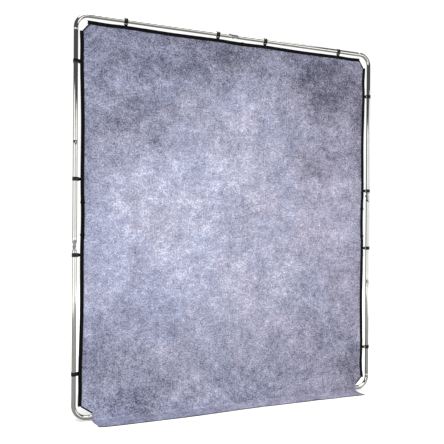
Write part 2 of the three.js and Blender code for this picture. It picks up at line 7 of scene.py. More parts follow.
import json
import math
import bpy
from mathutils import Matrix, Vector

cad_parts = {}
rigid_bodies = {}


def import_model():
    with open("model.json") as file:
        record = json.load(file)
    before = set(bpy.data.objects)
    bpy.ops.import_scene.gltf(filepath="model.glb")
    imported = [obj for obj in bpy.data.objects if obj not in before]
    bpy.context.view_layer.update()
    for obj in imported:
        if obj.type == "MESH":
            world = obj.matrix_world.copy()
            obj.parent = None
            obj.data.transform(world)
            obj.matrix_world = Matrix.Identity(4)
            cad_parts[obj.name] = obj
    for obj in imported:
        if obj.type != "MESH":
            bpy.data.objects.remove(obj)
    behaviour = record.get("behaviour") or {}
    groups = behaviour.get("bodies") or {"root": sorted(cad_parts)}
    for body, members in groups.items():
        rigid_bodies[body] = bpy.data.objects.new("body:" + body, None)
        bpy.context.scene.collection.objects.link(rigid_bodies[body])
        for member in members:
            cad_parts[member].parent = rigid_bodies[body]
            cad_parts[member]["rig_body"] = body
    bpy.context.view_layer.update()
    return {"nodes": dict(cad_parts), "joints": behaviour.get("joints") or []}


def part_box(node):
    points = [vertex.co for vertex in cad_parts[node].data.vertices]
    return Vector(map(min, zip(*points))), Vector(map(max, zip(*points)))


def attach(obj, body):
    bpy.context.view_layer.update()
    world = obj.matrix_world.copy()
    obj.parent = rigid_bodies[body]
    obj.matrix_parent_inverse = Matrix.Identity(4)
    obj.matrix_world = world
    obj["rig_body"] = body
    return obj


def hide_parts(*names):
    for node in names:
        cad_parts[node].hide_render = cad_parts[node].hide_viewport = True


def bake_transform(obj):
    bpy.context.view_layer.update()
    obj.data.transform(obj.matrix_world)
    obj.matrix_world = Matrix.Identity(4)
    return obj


bl_info = {
    "name": "Background Support Frame",
    "version": (1, 0, 0),
    "blender": (4, 5, 0),
    "location": "View3D > Sidebar > Background",
    "description": "Makes the tubes, hinges, clips, cloth and feet of a folding background support",
    "category": "Object",
}

import bmesh
import bpy
import numpy as np
from bpy.props import FloatProperty, FloatVectorProperty, IntProperty, PointerProperty
from bpy.types import Operator, Panel, PropertyGroup
from mathutils import Matrix, Vector, noise

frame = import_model()
NODES = frame["nodes"]
MM = 0.001


def node_centre(name):
    low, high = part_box(name)
    return (low + high) / 2


def linear(hex_colour):
    """An sRGB hex colour as linear red, green and blue."""
    values = [int(hex_colour[i : i + 2], 16) / 255 for i in (1, 3, 5)]
    return tuple(v / 12.92 if v <= 0.04045 else ((v + 0.055) / 1.055) ** 2.4 for v in values)


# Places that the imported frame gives
PLANE_Y = node_centre("left_outer_tube").y
LEFT_X = node_centre("left_outer_tube").x
RIGHT_X = node_centre("right_outer_tube").x
TOP_Z = node_centre("top_straight_tube").z
BOTTOM_Z = node_centre("bottom_straight_tube").z
TUBE_R = (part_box("left_outer_tube")[1].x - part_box("left_outer_tube")[0].x) / 2
FOLD_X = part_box("cover_left")[1].x
SKIRT_FRONT = PLANE_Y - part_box("cover_left")[0].y
MIDDLE_X = (LEFT_X + RIGHT_X) / 2

# The cover's cut, measured in from the tubes' centre lines
TOP_INSET = 27 * MM
TOP_CUT_IN = 76 * MM
SIDE_CUT_DOWN = 90 * MM
SIDE_CUT_UP = 68 * MM
FOOT_CUT_IN = 103 * MM
FOOT_CUT_UP = 26 * MM
SKIRT_LEAVES = 150 * MM
SKIRT_FORWARD = 18 * MM
SKIRT_BEND = 10 * MM
SKIRT_LIFT = 4 * MM
FOLD_HALF = 32 * MM
BAND_CLEARANCE = 3.2 * MM
HEM_RADIUS = 1.8 * MM
SEAM_INSET = 2.6 * MM
SEAM_PROUD = 0.05 * MM
KEEPER_WIDTH = 11 * MM
KEEPER_THICKER = 2.4 * MM
BINDING_WIDTH = 8 * MM
BINDING_THICKNESS = 2 * MM


# ---- settings -------------------------------------------------------------------------------


class TubeSettings(PropertyGroup):
    """Sizes and finish of the frame's tubes."""

    sides: IntProperty(name="Sides", description="Faces round a tube", default=48, min=12)
    wall: FloatProperty(
        name="Wall", description="Wall of the tubes", default=1.5 * MM, unit="LENGTH"
    )
    ring: FloatProperty(
        name="Ring spacing",
        description="Length of the faces along a tube",
        default=28 * MM,
        unit="LENGTH",
    )
    colour: FloatVectorProperty(
        name="Aluminium",
        description="Colour of the polished aluminium",
        default=linear("#C3C3BF"),
        subtype="COLOR",
    )


class CoverSettings(PropertyGroup):
    """Sizes and colours of the printed cloth and its edging."""

    thickness: FloatProperty(
        name="Cloth thickness",
        description="Thickness of the cloth",
        default=0.8 * MM,
        unit="LENGTH",
    )
    edging_width: FloatProperty(
        name="Edging width", description="Width of the edging", default=22 * MM, unit="LENGTH"
    )
    edging_thickness: FloatProperty(
        name="Edging thickness",
        description="Thickness of the edging folded over the cloth",
        default=2.6 * MM,
        unit="LENGTH",
    )
    stitch_pitch: FloatProperty(
        name="Stitch pitch", description="Length of one stitch", default=5 * MM, unit="LENGTH"
    )
    print_dark: FloatVectorProperty(
        name="Print dark", description="Darkest ink", default=linear("#2F2F40"), subtype="COLOR"
    )
    print_middle: FloatVectorProperty(
        name="Print middle", description="Middle ink", default=linear("#9A9AAE"), subtype="COLOR"
    )
    print_light: FloatVectorProperty(
        name="Print light", description="Lightest ink", default=linear("#F4F4FF"), subtype="COLOR"
    )
    edging_colour: FloatVectorProperty(
        name="Edging",
        description="Colour of the edging",
        default=linear("#0C0C0E"),
        subtype="COLOR",
    )


class HardwareSettings(PropertyGroup):
    """Edge rounding and colours of the hard pieces."""

    edge: FloatProperty(
        name="Edge rounding",
        description="Width of the rounding along sharp edges",
        default=0.5 * MM,
        unit="LENGTH",
    )
    clip_colour: FloatVectorProperty(
        name="Clip plastic",
        description="Colour of the clips",
        default=linear("#0A0A0B"),
        subtype="COLOR",
    )
    coat_colour: FloatVectorProperty(
        name="Powder coat",
        description="Colour of the foot bars",
        default=linear("#1B1C1E"),
        subtype="COLOR",
    )


class StageSettings(PropertyGroup):
    """Floor and light."""

    floor_colour: FloatVectorProperty(
        name="Floor", description="Colour of the floor", default=linear("#F2F2F1"), subtype="COLOR"
    )
    floor_thrown: FloatVectorProperty(
        name="Thrown back",
        description="Colour of the light that the floor throws back",
        default=linear("#8F8F8D"),
        subtype="COLOR",
    )
    key_power: FloatProperty(
        name="Key power", description="Power of the main light, in watts", default=285.0
    )
    wall_power: FloatProperty(
        name="Wall power", description="Power of each pale wall in reflections", default=150.0
    )
    top_power: FloatProperty(
        name="Top power", description="Strength of the light from above", default=3.9
    )
    sky: FloatProperty(name="Sky", description="Strength of the light all round", default=0.15)


class SupportSettings(PropertyGroup):
    """Everything that a user would change."""

    tube: PointerProperty(type=TubeSettings)
    cover: PointerProperty(type=CoverSettings)
    hardware: PointerProperty(type=HardwareSettings)
    stage: PointerProperty(type=StageSettings)


def settings():
    return bpy.context.scene.background_support


# ---- node helpers -----------------------------------------------------------------------------


def put(tree, kind, values=None, **options):
    """Add a node with its options, and give each named input a value or a link."""
    made = tree.nodes.new(kind)
    for name, value in options.items():
        setattr(made, name, value)
    for key, value in (values or {}).items():
        socket = made.inputs[key]
        if isinstance(value, bpy.types.NodeSocket):
            tree.links.new(value, socket)
        else:
            socket.default_value = value
    return made


def new_material(name, colour, **constants):
    """A material with a Principled shader whose constant sockets are set."""
    material = bpy.data.materials.new(name)
    material.use_nodes = True
    tree = material.node_tree
    shader = tree.nodes["Principled BSDF"]
    shader.inputs["Base Color"].default_value = (*colour, 1.0)
    for key, value in constants.items():
        socket = shader.inputs[key.replace("_", " ")]
        socket.default_value = value
    return material, tree, shader


def new_tree(name, sockets):
    """A geometry node tree with a geometry input and output and the named inputs."""
    tree = bpy.data.node_groups.new(name, "GeometryNodeTree")
    tree.interface.new_socket("Geometry", in_out="INPUT", socket_type="NodeSocketGeometry")
    for title, kind in sockets.items():
        tree.interface.new_socket(title, in_out="INPUT", socket_type="NodeSocket" + kind)
    tree.interface.new_socket("Geometry", in_out="OUTPUT", socket_type="NodeSocketGeometry")
    return tree, tree.nodes.new("NodeGroupInput").outputs, tree.nodes.new("NodeGroupOutput").inputs


def end_tree(tree, geometry, given, wanted):
    """End a geometry node tree: its instances made real, and its material set."""
    real = put(tree, "GeometryNodeRealizeInstances", {"Geometry": geometry})
    painted = put(
        tree,
        "GeometryNodeSetMaterial",
        {"Geometry": real.outputs["Geometry"], "Material": given["Material"]},
    )
    tree.links.new(painted.outputs["Geometry"], wanted["Geometry"])


def grow(obj, tree, values):
    """Give an object the tree as a modifier, with its inputs set by socket identifier."""
    modifier = obj.modifiers.new(tree.name, "NODES")
    modifier.node_group = tree
    for item in tree.interface.items_tree:
        if item.in_out == "INPUT" and item.name in values:
            modifier[item.identifier] = values[item.name]
    return modifier


# ---- mesh helpers -----------------------------------------------------------------------------


def new_object(name, vertices, edges=(), faces=()):
    mesh = bpy.data.meshes.new(name)
    mesh.from_pydata([tuple(v) for v in vertices], list(edges), list(faces))
    mesh.update()
    made = bpy.data.objects.new(name, mesh)
    bpy.context.scene.collection.objects.link(made)
    return made


def path_object(name, *chains):
    """One or more chains of edges for a geometry node tree to follow."""
    points, edges = [], []
    for chain in chains:
        edges += [(len(points) + i, len(points) + i + 1) for i in range(len(chain) - 1)]
        points += chain
    return new_object(name, points, edges)


def settle(obj):
    """Turn an object and its modifiers into one plain mesh object of the same name."""
    depsgraph = bpy.context.evaluated_depsgraph_get()
    evaluated = obj.evaluated_get(depsgraph)
    mesh = bpy.data.meshes.new_from_object(
        evaluated, preserve_all_data_layers=True, depsgraph=depsgraph
    )
    name = obj.name
    bpy.data.objects.remove(obj)
    mesh.name = name
    made = bpy.data.objects.new(name, mesh)
    bpy.context.scene.collection.objects.link(made)
    if not mesh.polygons:
        raise RuntimeError(name + " came out with no faces")
    return made


def face_out(obj):
    """Turn a closed mesh so that its faces point outwards."""
    work = bmesh.new()
    work.from_mesh(obj.data)
    if work.calc_volume(signed=True) < 0:
        bmesh.ops.reverse_faces(work, faces=work.faces)
    work.to_mesh(obj.data)
    work.free()


def smooth(obj, degrees=35):
    """Shade a mesh smooth, with edges sharper than an angle kept sharp."""
    obj.data.shade_smooth()
    obj.data.set_sharp_from_angle(angle=math.radians(degrees))


def dress(obj, material, body, stands_for=()):
    """Give a finished piece its one material and its body, and hide the CAD nodes that it stands for.
    """
    obj.data.materials.clear()
    obj.data.materials.append(material)
    for polygon in obj.data.polygons:
        polygon.material_index = 0
    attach(obj, body)
    if stands_for:
        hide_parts(*stands_for)
    return obj


def body_of_node(name):
    return NODES[name]["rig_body"]


def round_edges(obj, width, degrees):
    """Round the edges that are sharper than an angle."""
    bevel = obj.modifiers.new("Rounded edges", "BEVEL")
    bevel.width = width
    bevel.segments = 2
    bevel.limit_method = "ANGLE"
    bevel.angle_limit = math.radians(degrees)


def softened(name, node, width):
    """A merged copy of a CAD node with its sharp edges rounded."""
    made = new_object(name, [])
    made.data = NODES[node].data.copy()
    made.data.name = name
    work = bmesh.new()
    work.from_mesh(made.data)
    bmesh.ops.remove_doubles(work, verts=work.verts, dist=1e-5)
    bmesh.ops.dissolve_limit(
        work, angle_limit=math.radians(1), verts=work.verts, edges=work.edges
    )
    work.to_mesh(made.data)
    work.free()
    round_edges(made, width, 30)
    made = settle(made)
    smooth(made)
    return made


# ---- materials --------------------------------------------------------------------------------


def bump_from(tree, shader, height, distance, strength=1.0):
    """Send a height, in shares of a distance in metres, to the shader's normal."""
    bump = put(
        tree, "ShaderNodeBump", {"Height": height, "Distance": distance, "Strength": strength}
    )
    tree.links.new(bump.outputs["Normal"], shader.inputs["Normal"])


def grained(name, colour, tone=None, rough=None, relief=None, **constants):
    """A plated, moulded or coated finish, whose tone, roughness and relief follow fine noises.

    Each of the three starts with its noise: the scale in features per metre, the detail and the
    roughness. The tone then has the two colours that it runs between, the roughness its two ends
    and the relief its depth and strength. A range at the end gives the noise values to run over."""
    material, tree, shader = new_material(name, colour, **constants)
    place = put(tree, "ShaderNodeTexCoord").outputs["Object"]
    grains = {}
    for grain in (tone, rough, relief):
        if grain and grain[0] not in grains:
            scale, detail, roughness = grain[0]
            values = {"Vector": place, "Scale": scale, "Detail": detail, "Roughness": roughness}
            grains[grain[0]] = put(tree, "ShaderNodeTexNoise", values).outputs["Fac"]
    if tone:
        grain, dark, light, (start, end) = tone
        values = {"Value": grains[grain], "From Min": start, "From Max": end}
        share = put(tree, "ShaderNodeMapRange", values).outputs["Result"]
        values = {"Factor": share, "A": (*dark, 1.0), "B": (*light, 1.0)}
        mixed = put(tree, "ShaderNodeMix", values, data_type="RGBA")
        tree.links.new(mixed.outputs["Result"], shader.inputs["Base Color"])
    if rough:
        grain, low, high, (start, end) = rough
        values = {"Value": grains[grain], "From Min": start, "From Max": end}
        values.update({"To Min": low, "To Max": high})
        spread = put(tree, "ShaderNodeMapRange", values)
        tree.links.new(spread.outputs["Result"], shader.inputs["Roughness"])
    if relief:
        grain, depth, strength = relief
        bump_from(tree, shader, grains[grain], depth, strength)
    return material


def polished_aluminium():
    """Drawn aluminium, polished bright: faint lines along it, small scuffs and dull patches."""
    material, tree, shader = new_material(
        "Polished drawn aluminium", settings().tube.colour, Metallic=1.0, Roughness=0.16
    )
    ring = put(tree, "ShaderNodeAttribute", attribute_name="ring")
    along = put(tree, "ShaderNodeAttribute", attribute_name="along")
    around = put(tree, "ShaderNodeSeparateXYZ", {"Vector": ring.outputs["Vector"]})
    # Die lines: about 0.4 mm apart round the tube, tens of millimetres long
    lines_at = put(
        tree,
        "ShaderNodeCombineXYZ",
        {"X": around.outputs["X"], "Y": around.outputs["Y"], "Z": along.outputs["Fac"]},
    )
    stretched = put(
        tree,
        "ShaderNodeVectorMath",
        {0: lines_at.outputs["Vector"], 1: (1.0, 1.0, 0.012)},
        operation="MULTIPLY",
    )
    die_lines = put(
        tree,
        "ShaderNodeTexNoise",
        {"Vector": stretched.outputs["Vector"], "Scale": 2200.0, "Detail": 2.0, "Roughness": 0.6},
    )
    # Handling dulls the polish in patches some 40 mm across
    patches = put(
        tree,
        "ShaderNodeTexNoise",
        {"Vector": lines_at.outputs["Vector"], "Scale": 26.0, "Detail": 4.0, "Roughness": 0.65},
    )
    dull = put(
        tree,
        "ShaderNodeMapRange",
        {
            "Value": patches.outputs["Fac"],
            "From Min": 0.38,
            "From Max": 0.75,
            "To Min": 0.04,
            "To Max": 0.12,
        },
    )
    # Scuffs: short thin marks across the tube, where clips and clamps have slid
    squeezed = put(
        tree,
        "ShaderNodeVectorMath",
        {0: lines_at.outputs["Vector"], 1: (0.12, 0.12, 1.0)},
        operation="MULTIPLY",
    )
    scuffs = put(
        tree,
        "ShaderNodeTexNoise",
        {"Vector": squeezed.outputs["Vector"], "Scale": 900.0, "Detail": 3.0, "Roughness": 0.7},
    )
    marks = put(
        tree,
        "ShaderNodeMapRange",
        {"Value": scuffs.outputs["Fac"], "From Min": 0.66, "From Max": 0.76, "To Max": 0.08},
    )
    rough = put(
        tree,
        "ShaderNodeMath",
        {0: dull.outputs["Result"], 1: marks.outputs["Result"]},
        operation="ADD",
    )
    tree.links.new(rough.outputs["Value"], shader.inputs["Roughness"])
    tint = put(
        tree,
        "ShaderNodeMix",
        {
            "Factor": patches.outputs["Fac"],
            "A": (*settings().tube.colour, 1.0),
            "B": (*linear("#A8A8A3"), 1.0),
        },
        data_type="RGBA",
    )
    tree.links.new(tint.outputs["Result"], shader.inputs["Base Color"])
    bump_from(tree, shader, die_lines.outputs["Fac"], 0.02 * MM, 0.5)
    return material


def cast_aluminium():
    """Cast and tumbled aluminium: satin, with a fine pebbled skin and shallow dents."""
    material, tree, shader = new_material(
        "Tumbled cast aluminium", linear("#A6A7A6"), Metallic=1.0, Roughness=0.34
    )
    place = put(tree, "ShaderNodeTexCoord").outputs["Object"]
    skin = put(
        tree,
        "ShaderNodeTexNoise",
        {"Vector": place, "Scale": 1600.0, "Detail": 3.0, "Roughness": 0.6},
    )
    dents = put(
        tree,
        "ShaderNodeTexVoronoi",
        {"Vector": place, "Scale": 420.0, "Smoothness": 0.6},
        feature="SMOOTH_F1",
    )
    rough = put(
        tree,
        "ShaderNodeMapRange",
        {"Value": skin.outputs["Fac"], "To Min": 0.24, "To Max": 0.46},
    )
    tree.links.new(rough.outputs["Result"], shader.inputs["Roughness"])
    height = put(
        tree,
        "ShaderNodeMath",
        {0: skin.outputs["Fac"], 1: 0.4, 2: dents.outputs["Distance"]},
        operation="MULTIPLY_ADD",
    )
    bump_from(tree, shader, height.outputs["Value"], 0.06 * MM, 0.6)
    return material


WHOLE = (0.0, 1.0)


def zinc_steel():
    """Zinc-plated steel: bright grey with a cloudy spangle and small tool marks."""
    clouds = (240.0, 4.0, 0.6)
    return grained(
        "Zinc-plated steel",
        linear("#B9BCC0"),
        tone=(clouds, linear("#C9CBCE"), linear("#A5A8A9"), WHOLE),
        rough=(clouds, 0.2, 0.4, WHOLE),
        relief=(clouds, 0.03 * MM, 0.5),
        Metallic=1.0,
    )


def dark_rivet():
    """Blackened steel rivet head: dark and satin, rubbed bright where it stands proud."""
    rubbed = (520.0, 4.0, 0.7)
    return grained(
        "Blackened steel",
        linear("#3A3B3D"),
        tone=(rubbed, linear("#242527"), linear("#5A5B5E"), WHOLE),
        rough=(rubbed, 0.25, 0.5, WHOLE),
        Metallic=1.0,
    )


def clip_plastic():
    """Injection-moulded ABS: glossy black, with faint flow waves and duller rubbed spots."""
    return grained(
        "Glossy moulded ABS",
        settings().hardware.clip_colour,
        rough=((700.0, 4.0, 0.7), 0.17, 0.42, (0.4, 0.75)),
        relief=((90.0, 2.0, 0.5), 0.12 * MM, 0.35),
        IOR=1.53,
        Specular_IOR_Level=0.2,
    )


def powder_coat():
    """Black powder coat on steel: a satin orange-peel skin with dust in its hollows."""
    coat, dust = settings().hardware.coat_colour, (34.0, 6.0, 0.7)
    return grained(
        "Black powder coat",
        coat,
        tone=(dust, coat, linear("#3A3B3D"), (0.45, 0.8)),
        rough=(dust, 0.38, 0.64, WHOLE),
        relief=((950.0, 2.0, 0.5), 0.09 * MM, 0.7),
        IOR=1.5,
    )


def knob_nylon():
    """Glass-filled nylon knob: black, with the fine grain of a spark-eroded mould."""
    return grained(
        "Spark-grained nylon",
        linear("#141517"),
        rough=((150.0, 4.0, 0.6), 0.36, 0.62, WHOLE),
        relief=((2600.0, 2.0, 0.6), 0.05 * MM, 0.8),
        IOR=1.53,
    )


def cap_rubber():
    """Moulded rubber cap: matte near-black with a bloom of dust picked up from the floor."""
    return grained(
        "Moulded rubber",
        linear("#161616"),
        tone=((110.0, 6.0, 0.7), linear("#141414"), linear("#353433"), (0.4, 0.8)),
        relief=((1900.0, 3.0, 0.6), 0.08 * MM, 0.8),
        Roughness=0.8,
        IOR=1.52,
    )


def sewing_thread():
    """Bonded polyester thread: near-black and a little brighter than the webbing."""
    return grained(
        "Bonded sewing thread",
        linear("#1C1C20"),
        tone=((1500.0, 2.0, 0.5), linear("#121215"), linear("#2A2A30"), WHOLE),
        Roughness=0.5,
        IOR=1.5,
        Sheen_Weight=0.2,
    )


def woven_webbing():
    """Polyester webbing: black, ribbed across every millimetre or so, with a soft thread sheen."""
    material, tree, shader = new_material(
        "Black polyester webbing",
        settings().cover.edging_colour,
        Roughness=0.72,
        IOR=1.5,
        Specular_IOR_Level=0.05,
        Sheen_Weight=0.02,
        Sheen_Roughness=0.4,
        Sheen_Tint=(*linear("#3A3A40"), 1.0),
    )
    along = put(tree, "ShaderNodeAttribute", attribute_name="along").outputs["Fac"]
    ring = put(tree, "ShaderNodeAttribute", attribute_name="ring").outputs["Vector"]
    across = put(tree, "ShaderNodeSeparateXYZ", {"Vector": ring}).outputs["X"]
    # Ribs 1.1 mm apart along the webbing, warp threads 0.9 mm apart across it
    ribs = put(
        tree, "ShaderNodeMath", {0: along, 1: 2 * math.pi / (1.1 * MM)}, operation="MULTIPLY"
    )
    rib_wave = put(tree, "ShaderNodeMath", {0: ribs.outputs["Value"]}, operation="SINE")
    warps = put(
        tree, "ShaderNodeMath", {0: across, 1: 2 * math.pi / (0.9 * MM)}, operation="MULTIPLY"
    )
    warp_wave = put(tree, "ShaderNodeMath", {0: warps.outputs["Value"]}, operation="SINE")
    weave = put(
        tree,
        "ShaderNodeMath",
        {0: rib_wave.outputs["Value"], 1: warp_wave.outputs["Value"]},
        operation="MULTIPLY",
    )
    fuzz_at = put(tree, "ShaderNodeCombineXYZ", {"X": across, "Y": along})
    fuzz = put(
        tree,
        "ShaderNodeTexNoise",
        {"Vector": fuzz_at.outputs["Vector"], "Scale": 60.0, "Detail": 6.0, "Roughness": 0.75},
    )
    tone = put(
        tree,
        "ShaderNodeMapRange",
        {"Value": weave.outputs["Value"], "From Min": -1.0, "From Max": 1.0},
    )
    colour = put(
        tree,
        "ShaderNodeMix",
        {
            "Factor": tone.outputs["Result"],
            "A": (*linear("#040405"), 1.0),
            "B": (*settings().cover.edging_colour, 1.0),
        },
        data_type="RGBA",
    )
    worn = put(
        tree,
        "ShaderNodeMapRange",
        {"Value": fuzz.outputs["Fac"], "From Min": 0.55, "From Max": 0.85, "To Max": 0.5},
    )
    dusty = put(
        tree,
        "ShaderNodeMix",
        {
            "Factor": worn.outputs["Result"],
            "A": colour.outputs["Result"],
            "B": (*linear("#19191C"), 1.0),
        },
        data_type="RGBA",
    )
    tree.links.new(dusty.outputs["Result"], shader.inputs["Base Color"])
    bump_from(tree, shader, weave.outputs["Value"], 0.12 * MM, 0.8)
    return material


def soft_patch(tree, flat, centre, radii):
    """How far inside a soft-edged oval a point of the cloth is, from 1 at its centre to 0."""
    moved = put(
        tree,
        "ShaderNodeMapping",
        {
            "Vector": flat,
            "Location": (-centre[0] / radii[0], -centre[1] / radii[1], 0.0),
            "Scale": (1 / radii[0], 1 / radii[1], 1.0),
        },
    )
    reach = put(
        tree, "ShaderNodeVectorMath", {0: moved.outputs["Vector"]}, operation="LENGTH"
    )
    return put(
        tree,
        "ShaderNodeMapRange",
        {"Value": reach.outputs["Value"], "To Min": 1.0, "To Max": 0.0},
        interpolation_type="SMOOTHERSTEP",
    ).outputs["Result"]


# The printed clouds: centre across from the middle and up from the floor, half width and half
# height, all in metres, and how much each lightens (or, below nought, darkens) the ink
PRINT_CLOUDS = [
    ((-0.42, 1.12), (0.80, 0.72), 0.08),
    ((0.08, 1.62), (0.42, 0.50), 0.04),
    ((0.15, 0.72), (0.62, 0.40), 0.03),
    ((0.80, 1.20), (0.30, 0.60), 0.09),
    ((-0.80, 1.00), (0.24, 0.70), 0.13),
    ((0.05, 1.90), (0.34, 0.24), 0.08),
    ((0.00, 2.32), (1.60, 0.46), -0.14),
    ((-0.36, 2.02), (0.42, 0.24), -0.10),
    ((0.64, 2.04), (0.40, 0.28), -0.22),
    ((0.60, 1.56), (0.30, 0.24), -0.12),
    ((0.95, 1.86), (0.22, 0.60), -0.14),
    ((0.02, 1.10), (0.30, 0.26), -0.10),
    ((-0.62, 1.72), (0.34, 0.20), -0.10),
    ((-0.60, 0.10), (0.34, 0.14), -0.14),
    ((0.95, 0.12), (0.34, 0.34), -0.12),
]


def printed_cloth():
    """Matte woven polyester with a mottled print like rubbed plaster: blue-grey with pale clouds."""
    cover = settings().cover
    material, tree, shader = new_material(
        "Printed woven polyester",
        cover.print_middle,
        Roughness=0.9,
        IOR=1.5,
        Sheen_Weight=0.12,
        Sheen_Roughness=0.5,
        Sheen_Tint=(*linear("#C8CAE0"), 1.0),
    )
    flat = put(tree, "ShaderNodeUVMap", uv_map="Cloth").outputs["UV"]
    # Slow wander of the pattern, so that the clouds have ragged edges
    wander = put(
        tree, "ShaderNodeTexNoise", {"Vector": flat, "Scale": 5.0, "Detail": 5.0, "Roughness": 0.7}
    )
    offset = put(
        tree,
        "ShaderNodeVectorMath",
        {0: wander.outputs["Color"], 1: (0.5, 0.5, 0.5)},
        operation="SUBTRACT",
    )
    ragged = put(
        tree,
        "ShaderNodeVectorMath",
        {0: offset.outputs["Vector"], 1: (0.34, 0.34, 0.0), 2: flat},
        operation="MULTIPLY_ADD",
    ).outputs["Vector"]
    # The print fades darker towards the edges of the cloth
    total = put(
        tree,
        "ShaderNodeMath",
        {0: soft_patch(tree, ragged, (-0.10, 1.10), (1.35, 1.45)), 1: 0.22, 2: 0.15},
        operation="MULTIPLY_ADD",
    ).outputs["Value"]
    for centre, radii, weight in PRINT_CLOUDS:
        total = put(
            tree,
            "ShaderNodeMath",
            {0: soft_patch(tree, ragged, centre, radii), 1: weight, 2: total},
            operation="MULTIPLY_ADD",
        ).outputs["Value"]
    # Mottling at four sizes: trowel-wide blotches, hand-wide ones, finger-wide ones and speckle
    for scale, detail, roughness, weight in (
        (2.6, 3.0, 0.6, 0.26),
        (9.0, 4.0, 0.7, 0.62),
        (34.0, 5.0, 0.75, 0.9),
        (110.0, 4.0, 0.8, 2.0),
    ):
        mottle = put(
            tree,
            "ShaderNodeTexNoise",
            {"Vector": flat, "Scale": scale, "Detail": detail, "Roughness": roughness},
        )
        centred = put(
            tree, "ShaderNodeMath", {0: mottle.outputs["Fac"], 1: 0.5}, operation="SUBTRACT"
        )
        total = put(
            tree,
            "ShaderNodeMath",
            {0: centred.outputs["Value"], 1: weight, 2: total},
            operation="MULTIPLY_ADD",
        ).outputs["Value"]
    # Crazed pale scratches: the thin lines where a warped noise crosses its middle, in patches
    crazed = put(
        tree,
        "ShaderNodeTexNoise",
        {"Vector": ragged, "Scale": 20.0, "Detail": 6.0, "Roughness": 0.72, "Distortion": 0.6},
    )
    off_line = put(
        tree, "ShaderNodeMath", {0: crazed.outputs["Fac"], 1: 0.5}, operation="SUBTRACT"
    )
    apart = put(tree, "ShaderNodeMath", {0: off_line.outputs["Value"]}, operation="ABSOLUTE")
    scratch = put(
        tree,
        "ShaderNodeMapRange",
        {"Value": apart.outputs["Value"], "From Max": 0.022, "To Min": 1.0, "To Max": 0.0},
        interpolation_type="SMOOTHSTEP",
    )
    rubbed = put(
        tree, "ShaderNodeTexNoise", {"Vector": flat, "Scale": 4.5, "Detail": 3.0, "Roughness": 0.6}
    )
    where = put(
        tree,
        "ShaderNodeMapRange",
        {"Value": rubbed.outputs["Fac"], "From Min": 0.4, "From Max": 0.65, "To Max": 0.30},
    )
    shown = put(
        tree,
        "ShaderNodeMath",
        {0: scratch.outputs["Result"], 1: where.outputs["Result"]},
        operation="MULTIPLY",
    )
    total = put(
        tree, "ShaderNodeMath", {0: total, 1: shown.outputs["Value"]}, operation="ADD"
    ).outputs["Value"]
    # Thin drag marks of the trowel, up and down the cloth
    dragged = put(tree, "ShaderNodeMapping", {"Vector": ragged, "Scale": (90.0, 7.0, 1.0)})
    drags = put(
        tree,
        "ShaderNodeTexNoise",
        {"Vector": dragged.outputs["Vector"], "Scale": 1.0, "Detail": 3.0, "Roughness": 0.6},
    )
    drag_centred = put(
        tree, "ShaderNodeMath", {0: drags.outputs["Fac"], 1: 0.5}, operation="SUBTRACT"
    )
    total = put(
        tree,
        "ShaderNodeMath",
        {0: drag_centred.outputs["Value"], 1: 0.34, 2: total},
        operation="MULTIPLY_ADD",
    ).outputs["Value"]
    # The mottling may run past either end of the inks, so it is drawn in towards the middle
    drawn_in = put(tree, "ShaderNodeMath", {0: total, 1: 0.8, 2: 0.128}, operation="MULTIPLY_ADD")
    inks = put(tree, "ShaderNodeValToRGB", {"Fac": drawn_in.outputs["Value"]})
    ramp = inks.color_ramp
    ramp.elements[0].position = 0.0
    ramp.elements[0].color = (*cover.print_dark, 1.0)
    ramp.elements[1].position = 1.0
    ramp.elements[1].color = (*cover.print_light, 1.0)
    middle = ramp.elements.new(0.5)
    middle.color = (*cover.print_middle, 1.0)
    # Two washes of tint, mauve and blue-green, lie over the inks in broad patches
    wash = put(
        tree, "ShaderNodeTexNoise", {"Vector": ragged, "Scale": 2.2, "Detail": 4.0, "Roughness": 0.6}
    )
    # The left of the cloth is the bluer side, so the wash leans on the place across it
    side = put(tree, "ShaderNodeSeparateXYZ", {"Vector": flat})
    leaning = put(
        tree,
        "ShaderNodeMath",
        {0: side.outputs["X"], 1: 0.15, 2: wash.outputs["Fac"]},
        operation="MULTIPLY_ADD",
    )
    hue = put(
        tree,
        "ShaderNodeMapRange",
        {"Value": leaning.outputs["Value"], "From Min": 0.36, "From Max": 0.64},
    )
    tints = put(
        tree,
        "ShaderNodeMix",
        {
            "Factor": hue.outputs["Result"],
            "A": (*linear("#F3F9FF"), 1.0),
            "B": (*linear("#FDF9F8"), 1.0),
        },
        data_type="RGBA",
    )
    washed = put(
        tree,
        "ShaderNodeMix",
        {"Factor": 1.0, "A": inks.outputs["Color"], "B": tints.outputs["Result"]},
        data_type="RGBA",
        blend_type="MULTIPLY",
    )
    tree.links.new(washed.outputs["Result"], shader.inputs["Base Color"])
    # Plain weave, its threads drawn 0.9 mm apart so that the crossings show close to
    split = put(tree, "ShaderNodeSeparateXYZ", {"Vector": flat})
    waves = []
    for axis in ("X", "Y"):
        phase = put(
            tree,
            "ShaderNodeMath",
            {0: split.outputs[axis], 1: 2 * math.pi / (0.9 * MM)},
            operation="MULTIPLY",
        )
        wave = put(tree, "ShaderNodeMath", {0: phase.outputs["Value"]}, operation="SINE")
        waves.append(wave.outputs["Value"])
    weave = put(tree, "ShaderNodeMath", {0: waves[0], 1: waves[1]}, operation="MULTIPLY")
    bump_from(tree, shader, weave.outputs["Value"], 0.12 * MM, 1.0)
    return material


MAKERS = {
    "tube": polished_aluminium,
    "knuckle": cast_aluminium,
    "steel": zinc_steel,
    "rivet": dark_rivet,
    "clip": clip_plastic,
    "cloth": printed_cloth,
    "webbing": woven_webbing,
    "thread": sewing_thread,
    "coat": powder_coat,
    "knob": knob_nylon,
    "rubber": cap_rubber,
}
MADE = {}


